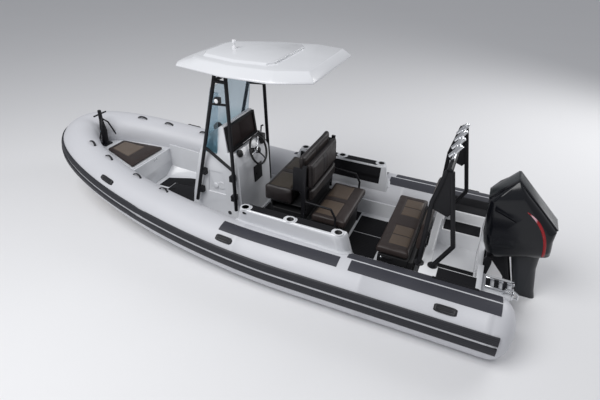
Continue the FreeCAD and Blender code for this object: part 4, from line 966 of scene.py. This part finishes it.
def swell(pieces):
    scene = bpy.context.scene
    for piece, cap in pieces:
        cloth = piece.modifiers.new("fill", "CLOTH")
        cloth.settings.use_pressure = True
        cloth.settings.uniform_pressure_force = PRESSURE
        cloth.settings.effector_weights.gravity = 0.0
        cloth.settings.quality = 4
    for step in range(1, CLOTH_STEPS + 1):
        scene.frame_set(step)
    for piece, cap in pieces:
        shape = piece.evaluated_get(bpy.context.evaluated_depsgraph_get())
        moved = [vertex.co.copy() for vertex in shape.data.vertices]
        for vertex, target in zip(piece.data.vertices, moved):
            shift = target - vertex.co
            if shift.length > cap:
                shift = shift * (cap / shift.length)
            vertex.co = vertex.co + shift
        piece.modifiers.clear()
    scene.frame_set(1)


for piece, node, kind, cap in pads.values():
    remesh(piece)
swell([(piece, cap) for piece, node, kind, cap in pads.values()])
print("pad faces", {name: len(entry[0].data.polygons) for name, entry in pads.items()})

# %% [markdown]
# After the cloth come the sewn details. One subdivision gives enough points, then the edges of the panels
# are pressed in as channels, along each point's normal.

# %% Seams and channels
PANELS_OF = {
    "helm": (HELM_PANELS, (0, 1)), "aft": (AFT_PANELS, (0, 1)), "bench": (BENCH_PANELS, (0, 1)),
    "bow": (BOW_PANELS, (0, 1)), "back": (BACK_PANELS, (1, 2)), "aft_back": (AFT_BACK_PANELS, (1, 2)),
    "bench_back": (BENCH_BACK_PANELS, (1, 2)),
}
BODY_OF = {"pad_bench": "bench_lid", "pad_bow": "fore_lid"}
CHANNEL_DEPTH = 0.005
CHANNEL_WIDTH = 0.008
FACING_LEAST = 0.4


def channel_share(point, panels, axes, taper):
    deepest = 0.0
    for low_a, high_a, low_b, high_b in panels:
        squeeze = taper * max(0.0, point[axes[0]] - low_a)
        past_a = max(low_a - point[axes[0]], point[axes[0]] - high_a)
        past_b = max(low_b + squeeze - point[axes[1]], point[axes[1]] - high_b + squeeze)
        edge = abs(max(past_a, past_b))
        deepest = max(deepest, math.exp(-(edge / CHANNEL_WIDTH) ** 2))
    return deepest


def press_seams(piece, kind):
    panels, axes = PANELS_OF[kind]
    taper = BOW_TAPER if kind == "bow" else 0.0
    smooth = piece.modifiers.new("smooth", "SUBSURF")
    smooth.levels = 1
    smooth.render_levels = 1
    bake_modifiers(piece)
    spare = 3 - sum(axes)
    points = [(vertex.co.copy(), vertex.normal.copy()) for vertex in piece.data.vertices]
    for vertex, (point, normal) in zip(piece.data.vertices, points):
        if abs(normal[spare]) < FACING_LEAST:
            continue
        share = channel_share(point, panels, axes, taper)
        if share > 0.01:
            vertex.co = point - normal * CHANNEL_DEPTH * share
    for polygon in piece.data.polygons:
        polygon.use_smooth = True


for name, (piece, node, kind, cap) in pads.items():
    press_seams(piece, kind)
    piece.data.materials.clear()
    piece.data.materials.append(upholstery[kind])
    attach(piece, BODY_OF.get(name, "boat"))
    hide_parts(node)
print("pads seamed", len(pads))

# %% [markdown]
# Cup holders in the two side consoles have dark plastic liners, turned as open cups.

# %% Cup liners
CUP_PROFILE = [(0.0, 0.0396), (0.0745, 0.0396), (0.0755, 0.0385), (0.0755, 0.0365), (0.0060, 0.0345)]
FIRST_CUP = Vector((1.471, 0.863, 0.7208))
CUP_PITCH = 0.549

for side, name in ((1, "cup_liners_port"), (-1, "cup_liners_starboard")):
    mesh = bmesh.new()
    for i in range(3):
        foot = (FIRST_CUP.x + CUP_PITCH * i, side * FIRST_CUP.y, FIRST_CUP.z)
        turned(mesh, CUP_PROFILE, foot, (0, 0, 1), 40)
    new_piece(name, mesh, black_plastic)
print("cup liners", 6)

# %% [markdown]
# Handles on the tubes: webbing loops on the inner side, and moulded grips with a bar across a shallow dish
# on the outer side. Both follow the round of the tube.

# %% Tube handles
LOOP_XS = (5.199, 4.808, 4.256, 3.800)
LOOP_ANGLE = math.radians(106)
LOOP_HALF = 0.062
LOOP_RISE = 0.036
LOOP_SINK = 0.004
WEB_HALF_WIDE = 0.017
WEB_HALF_THICK = 0.0048
GRIP_XS = (0.280, 2.690, 4.506)
GRIP_ANGLE = math.radians(47)
GRIP_HALF_LONG = 0.108
GRIP_HALF_WIDE = 0.040
GRIP_THICK = 0.004
DISH_REACH = 0.80


def on_tube(x, along, angle, height, side):
    centre, ahead, outward, up, radius = tube_frame(x + along)
    around = math.cos(angle) * outward + math.sin(angle) * up
    point = centre + around * (radius + height)
    return Vector((point.x, side * point.y, point.z))


def away_from_tube(x, angle, side):
    return on_tube(x, 0, angle, 0.01, side) - on_tube(x, 0, angle, 0.0, side)


def loop_handle(mesh, x, angle, side):
    loops = []
    for k in range(25):
        lean = math.pi * k / 24
        along = -LOOP_HALF * math.cos(lean)
        lift = LOOP_RISE * math.sin(lean) - LOOP_SINK
        here = on_tube(x, along, angle, lift, side)
        up = (on_tube(x, along, angle, lift + 0.01, side) - here).normalized()
        run = (on_tube(x, along + 0.002, angle, lift, side) - here).normalized()
        out = (up * math.sin(lean) - run * math.cos(lean)).normalized()
        across = up.cross(run).normalized()
        loops.append(oval_points(here, across * WEB_HALF_WIDE, out * WEB_HALF_THICK, 12))
    skin(mesh, loops)


def dish_height(share, turn):
    reach = (abs(share) ** 4 + abs(turn) ** 4) ** 0.25
    rim = 0.020 * max(0.0, 1 - max(0.0, (reach - DISH_REACH) / (1 - DISH_REACH)) ** 2)
    dip = 0.015 * max(0.0, 1 - (reach / DISH_REACH) ** 6) if reach < DISH_REACH else 0.0
    bar = 0.016 * math.exp(-(turn / 0.20) ** 4) if abs(share) < DISH_REACH else 0.0
    return max(rim - dip, bar)


def wrap_sheet(mesh, cells, place_of, up, thickness):
    sheet = bmesh.new()
    for vert in bmesh.ops.create_grid(sheet, x_segments=cells[0], y_segments=cells[1], size=1.0)["verts"]:
        vert.co = place_of(vert.co.x, vert.co.y)
    sheet.normal_update()
    sheet.faces.ensure_lookup_table()
    if sum((face.normal.dot(up) for face in sheet.faces), 0.0) < 0:
        bmesh.ops.reverse_faces(sheet, faces=sheet.faces[:])
    bmesh.ops.solidify(sheet, geom=sheet.faces[:], thickness=thickness)
    data = bpy.data.meshes.new("sheet")
    sheet.to_mesh(data)
    sheet.free()
    mesh.from_mesh(data)
    bpy.data.meshes.remove(data)


def grip_handle(mesh, x, angle, side):
    half_turn = GRIP_HALF_WIDE / TUBE_RADIUS

    def place_of(share, turn):
        squeeze = 1 - 0.35 * abs(share) ** 6
        lift = 0.0 if max(abs(share), abs(turn)) > 0.999 else dish_height(share, turn)
        return on_tube(x, GRIP_HALF_LONG * share, angle + half_turn * turn * squeeze, lift, side)

    wrap_sheet(mesh, (32, 16), place_of, away_from_tube(x, angle, side), GRIP_THICK)


def make_handles():
    mesh = bmesh.new()
    for side in (1, -1):
        for x in LOOP_XS:
            loop_handle(mesh, x, LOOP_ANGLE, side)
        for x in GRIP_XS:
            grip_handle(mesh, x, GRIP_ANGLE, side)
    piece = new_piece("moulded_handles", mesh, handle_rubber)
    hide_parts("tube_handles")
    return piece


handles = make_handles()
print("handles", len(handles.data.polygons), "faces")

# %% [markdown]
# Beside the motor well, dark foam also covers the inner shoulder of each tube and the side deck below it.

# %% Stern pads
SHOULDER_X = 0.245
SHOULDER_HALF_LONG = 0.225
SHOULDER_ANGLE = math.radians(134)
SHOULDER_SPREAD = math.radians(24)
SHOULDER_LIFT = 0.0055
FOAM_THICK = 0.006
DECK_PAD_LOW = Vector((0.055, 0.605, 0.5003))
DECK_PAD_HIGH = Vector((0.440, 0.790, 0.5003 + FOAM_THICK))


def shoulder_pad(name, side):
    def place_of(share, turn):
        angle = SHOULDER_ANGLE + SHOULDER_SPREAD * turn
        return on_tube(SHOULDER_X, SHOULDER_HALF_LONG * share, angle, SHOULDER_LIFT, side)

    mesh = bmesh.new()
    wrap_sheet(mesh, (20, 12), place_of, away_from_tube(SHOULDER_X, SHOULDER_ANGLE, side), FOAM_THICK)
    return new_piece(name, mesh, deck_foam)


def deck_pad(name, side):
    middle = (DECK_PAD_LOW + DECK_PAD_HIGH) / 2
    place = Matrix.Translation((middle.x, side * middle.y, middle.z))
    return rounded_block(name, DECK_PAD_HIGH - DECK_PAD_LOW, 0.002, place, deck_foam)


for side, word in ((1, "port"), (-1, "starboard")):
    shoulder_pad("shoulder_pad_" + word, side)
    deck_pad("side_deck_pad_" + word, side)
print("stern pads", 4)

# %% [markdown]
# Small fittings: a round vent in the console's recess, a grey cap low on the console's side, the lens of
# the side lamp, a ring on the fore locker's front, a latch on the bench and a pale line below the
# instruments.

# %% Small fittings
VENT_PROFILE = [(-0.002, 0.052), (0.005, 0.052), (0.008, 0.047), (0.004, 0.041), (0.007, 0.036),
                (0.003, 0.030), (0.006, 0.024), (0.002, 0.018), (0.006, 0.010)]
CAP_PROFILE = [(-0.002, 0.026), (0.004, 0.026), (0.007, 0.021), (0.007, 0.006)]
LENS_PROFILE = [(-0.004, 0.026), (0.002, 0.026), (0.006, 0.020), (0.008, 0.008)]
PIN_PROFILE = [(-0.002, 0.013), (0.008, 0.013), (0.011, 0.010), (0.011, 0.003)]
RING_AT = Vector((4.6372, -0.100, 0.462))
RING_HALF_WIDE = Vector((0, 0.030, 0))
RING_HALF_HIGH = Vector((0, 0, 0.020))
RING_OPENING = 30
RING_WIRE = 0.004
ROD_SIDES = 14
DASH_LEAN = math.radians(8.88)
DASH_FOOT = Matrix.Translation((3.085, 0, 1.120))
DASH_LINE_AT = Matrix.Translation((-0.0708, -0.095, 0.0255))


def rod(mesh, points, radius):
    loops = []
    for i, point in enumerate(points):
        before = points[max(0, i - 1)]
        after = points[min(len(points) - 1, i + 1)]
        across, up = side_frame((after - before).normalized())
        loops.append(circle_points(point, across, up, radius, ROD_SIDES))
    skin(mesh, loops)


def port_disc(name, profile, place, material):
    mesh = bmesh.new()
    turned(mesh, profile, place, (0, 1, 0), 40)
    return new_piece(name, mesh, material)


def arc(centre, first, second, sweep, count):
    angles = [math.radians(sweep * i / count) for i in range(count + 1)]
    return [centre + first * math.cos(angle) + second * math.sin(angle) for angle in angles]


def locker_ring():
    mesh = bmesh.new()
    rod(mesh, arc(RING_AT, RING_HALF_WIDE, RING_HALF_HIGH, 360 - RING_OPENING, 20), RING_WIRE)
    return new_piece("lid_ring", mesh, polished_steel)


port_disc("recess_vent", VENT_PROFILE, (3.188, 0.3825, 0.655), gelcoat)
port_disc("console_cap", CAP_PROFILE, (3.083, 0.3965, 0.285), leg_paint)
port_disc("lamp_lens", LENS_PROFILE, (3.128, 0.460, 1.794), clear_lens)
locker_ring()
latch_place = Matrix.Translation((0.990, 0.613, 0.442))
rounded_block("bench_latch_plate", (0.130, 0.010, 0.026), 0.003, latch_place, black_plastic)
port_disc("bench_latch_pin", PIN_PROFILE, (1.040, 0.617, 0.444), polished_steel)
dash_place = DASH_FOOT @ Matrix.Rotation(DASH_LEAN, 4, "Y") @ DASH_LINE_AT
rounded_block("dash_line", (0.0030, 0.390, 0.0060), 0.0008, dash_place, clear_lens)
print("small fittings made")

# %% [markdown]
# The wheel's three spokes are bright tapered castings, and its boss has a black cap inside a bright ring.
# They turn with the wheel.

# %% Wheel spokes
WHEEL_AXIS = Vector((-0.9333, 0, 0.3590))
WHEEL_HIGH = Vector((0.3590, 0, 0.9333))
SPOKE_FROM = 0.034
SPOKE_LONG = 0.136
SPOKE_ANGLES = (90, 210, 330)
BOSS_PROFILE = [(0.000, 0.0445), (0.0065, 0.0445), (0.0085, 0.0425), (0.0085, 0.036)]
BOSS_CAP_PROFILE = [(0.0080, 0.036), (0.0115, 0.034), (0.0140, 0.026), (0.0150, 0.012)]


def add_spoke(mesh, out, axis):
    beside = axis.cross(out)
    loops = []
    for k in range(9):
        share = k / 8
        raised = axis * (-0.0135 + 0.0125 * share)
        middle = Vector(WHEEL_AT) + out * (SPOKE_FROM + SPOKE_LONG * share) + raised
        half_wide = 0.019 - 0.006 * math.sin(math.pi * share) - 0.003 * share
        loops.append(oval_points(middle, beside * half_wide, axis * 0.0105, 20))
    skin(mesh, loops)


def make_wheel_parts():
    axis = WHEEL_AXIS.normalized()
    high = WHEEL_HIGH.normalized()
    port = Vector((0, 1, 0))
    mesh = bmesh.new()
    for angle in SPOKE_ANGLES:
        add_spoke(mesh, high * math.cos(math.radians(angle)) + port * math.sin(math.radians(angle)), axis)
    turned(mesh, BOSS_PROFILE, WHEEL_AT, axis, 40)
    spokes = new_piece("wheel_spokes", mesh, polished_steel, body="helm")
    mesh = bmesh.new()
    turned(mesh, BOSS_CAP_PROFILE, WHEEL_AT, axis, 40)
    new_piece("wheel_cap", mesh, black_plastic, body="helm")
    return spokes


wheel_spokes = make_wheel_parts()
print("wheel spokes", len(wheel_spokes.data.polygons), "faces")

# %% [markdown]
# A red stripe runs down the port side of the motor's cover. Its path is dropped sideways onto the cover,
# then given a little width and thickness.

# %% Red stripe
STRIPE_BEND = (Vector((-0.244, 1.150)), Vector((-0.492, 1.025)), Vector((-0.520, 0.655)))
STRIPE_HALF = 0.014
STRIPE_STEPS = 48
BESIDE_COVER = 0.6
EDGE_RISE = 0.0012
MIDDLE_RISE = 0.0022
UNDER_COVER = 0.0015


def drop_on_cover(tree, place):
    return tree.ray_cast(Vector((place.x, BESIDE_COVER, place.y)), Vector((0, -1, 0)))[0]


def stripe_ring(tree, t):
    first, bend, last = STRIPE_BEND
    middle = first * (1 - t) ** 2 + bend * 2 * t * (1 - t) + last * t * t
    run = ((bend - first) * (1 - t) + (last - bend) * t).normalized()
    aside = Vector((-run.y, run.x)) * STRIPE_HALF * min(1.0, 0.25 + 2.5 * t)
    hits = [drop_on_cover(tree, middle + aside * share) for share in (-1, -0.4, 0.4, 1)]
    if None in hits:
        return None
    rises = (EDGE_RISE, MIDDLE_RISE, MIDDLE_RISE, EDGE_RISE)
    top = [point + Vector((0, rise, 0)) for point, rise in zip(hits, rises)]
    return top + [point - Vector((0, UNDER_COVER, 0)) for point in reversed(hits)]


def make_red_stripe():
    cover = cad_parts["engine_cowl"].data
    faces = [polygon.vertices[:] for polygon in cover.polygons]
    tree = BVHTree.FromPolygons([vertex.co for vertex in cover.vertices], faces)
    rings = [stripe_ring(tree, i / STRIPE_STEPS) for i in range(STRIPE_STEPS + 1)]
    loops = [ring for ring in rings if ring is not None]
    mesh = bmesh.new()
    skin(mesh, loops)
    return new_piece("red_stripe", mesh, red_with_painted_highlight, body="motor"), len(loops)


red_stripe, stripe_rings = make_red_stripe()
print("red stripe rings", stripe_rings)

# %% [markdown]
# The solids come with flat facets and knife edges. A real moulding or casting has a small radius on each
# edge, so a stack of modifiers welds the facets, melts flat ones together and rounds the edges. The mesh
# itself stays.

# %% Rounding the carried-over solids
WELD_REACH = 0.00002
FLAT_WITHIN = math.radians(0.6)
SHARP_FROM = math.radians(32.0)


def round_edges(piece, width):
    for polygon in piece.data.polygons:
        polygon.use_smooth = True
    weld = piece.modifiers.new("weld", "WELD")
    weld.merge_threshold = WELD_REACH
    flat = piece.modifiers.new("flat", "DECIMATE")
    flat.decimate_type = "DISSOLVE"
    flat.angle_limit = FLAT_WITHIN
    bevel = piece.modifiers.new("bevel", "BEVEL")
    bevel.width = width
    bevel.segments = 2
    bevel.limit_method = "ANGLE"
    bevel.angle_limit = SHARP_FROM
    bevel.harden_normals = True
    bevel.use_clamp_overlap = True


def dress(name, material, width):
    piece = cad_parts[name]
    piece.data.materials.clear()
    piece.data.materials.append(material)
    if width > 0:
        round_edges(piece, width)


FINISH_OF = {
    "hull_bottom": (beige_gelcoat, 0.006), "transom": (gelcoat, 0.006), "splashwell": (painted_light_well_gelcoat, 0.010),
    "deck_liner": (gelcoat, 0.010), "bow_locker": (gelcoat, 0.010), "bow_lid": (gelcoat, 0.003),
    "tube_port": (tube_fabric, 0.0), "tube_starboard": (tube_fabric, 0.0), "tube_bow": (tube_fabric, 0.0),
    "rub_strake": (strake_rubber, 0.0), "tube_stripes": (stripe_rubber, 0.0), "pod_port": (gelcoat, 0.008),
    "pod_starboard": (gelcoat, 0.008), "grip_pads": (ribbed_foam, 0.002), "console": (gelcoat, 0.012),
    "console_hatch": (black_plastic, 0.0), "instrument_panel": (dash_face, 0.003),
    "windshield": (tinted_acrylic, 0.0), "helm_controls": (lever_trim, 0.003),
    "helm_wheel": (wheel_trim, 0.002), "roof_panel": (gelcoat, 0.010), "roof_frame": (powder_coat, 0.002),
    "lights": (lamp_trim, 0.001), "seat_base": (black_plastic, 0.008), "seat_frame": (powder_coat, 0.004),
    "helm_cushion": (dark_vinyl, 0.0), "helm_backrest": (dark_vinyl, 0.0),
    "aft_seat_cushion": (dark_vinyl, 0.0), "aft_backrest": (dark_vinyl, 0.0),
    "bench_base": (black_plastic, 0.008), "bench_cushion": (dark_vinyl, 0.0),
    "bench_backrest": (dark_vinyl, 0.0), "arch_frame": (powder_coat, 0.002),
    "arch_rack": (polished_steel, 0.001), "bow_cushion": (dark_vinyl, 0.0),
    "samson_post": (powder_coat, 0.003), "deck_hatch": (deck_foam, 0.003),
    "tube_handles": (handle_rubber, 0.0), "ladder": (polished_steel, 0.001),
    "ladder_mount": (polished_steel, 0.001), "stern_bracket": (powder_coat, 0.004),
    "swivel_bracket": (powder_coat, 0.004), "engine_cowl": (motor_paint, 0.012),
    "engine_leg": (leg_paint, 0.006), "propeller": (prop_steel, 0.001),
}
for node_name, (finish, radius) in FINISH_OF.items():
    dress(node_name, finish, radius)
print("dressed", len(FINISH_OF), "carried-over pieces")

# %% [markdown]
# The floor lies at the still waterline. It is pale and matt, and keeps the soft shadow of the boat. Its
# underside is clear, so the bottom of the hull shows from below.

# %% Floor
FLOOR_SPAN = 60.0


def make_floor():
    material, tree, shader = start_material("pale_floor", roughness=0.9)
    tone = group_node(tree, mottle, Color=(0.80, 0.80, 0.81, 1), Spread=0.02, Coarse=0.5, Fine=20.0)
    tree.links.new(tone.outputs["Color"], shader.inputs["Base Color"])
    facing = tree.nodes.new("ShaderNodeNewGeometry")
    upper_side = add_node(tree, "ShaderNodeMath", operation="SUBTRACT")
    upper_side.inputs[0].default_value = 1.0
    tree.links.new(facing.outputs["Backfacing"], upper_side.inputs[1])
    tree.links.new(upper_side.outputs[0], shader.inputs["Alpha"])
    mesh = bmesh.new()
    bmesh.ops.create_grid(mesh, x_segments=1, y_segments=1, size=FLOOR_SPAN)
    data = bpy.data.meshes.new("floor")
    mesh.to_mesh(data)
    mesh.free()
    data.materials.append(material)
    floor = bpy.data.objects.new("floor", data)
    bpy.context.scene.collection.objects.link(floor)
    return floor


floor = make_floor()
print("floor at", floor.location.z)
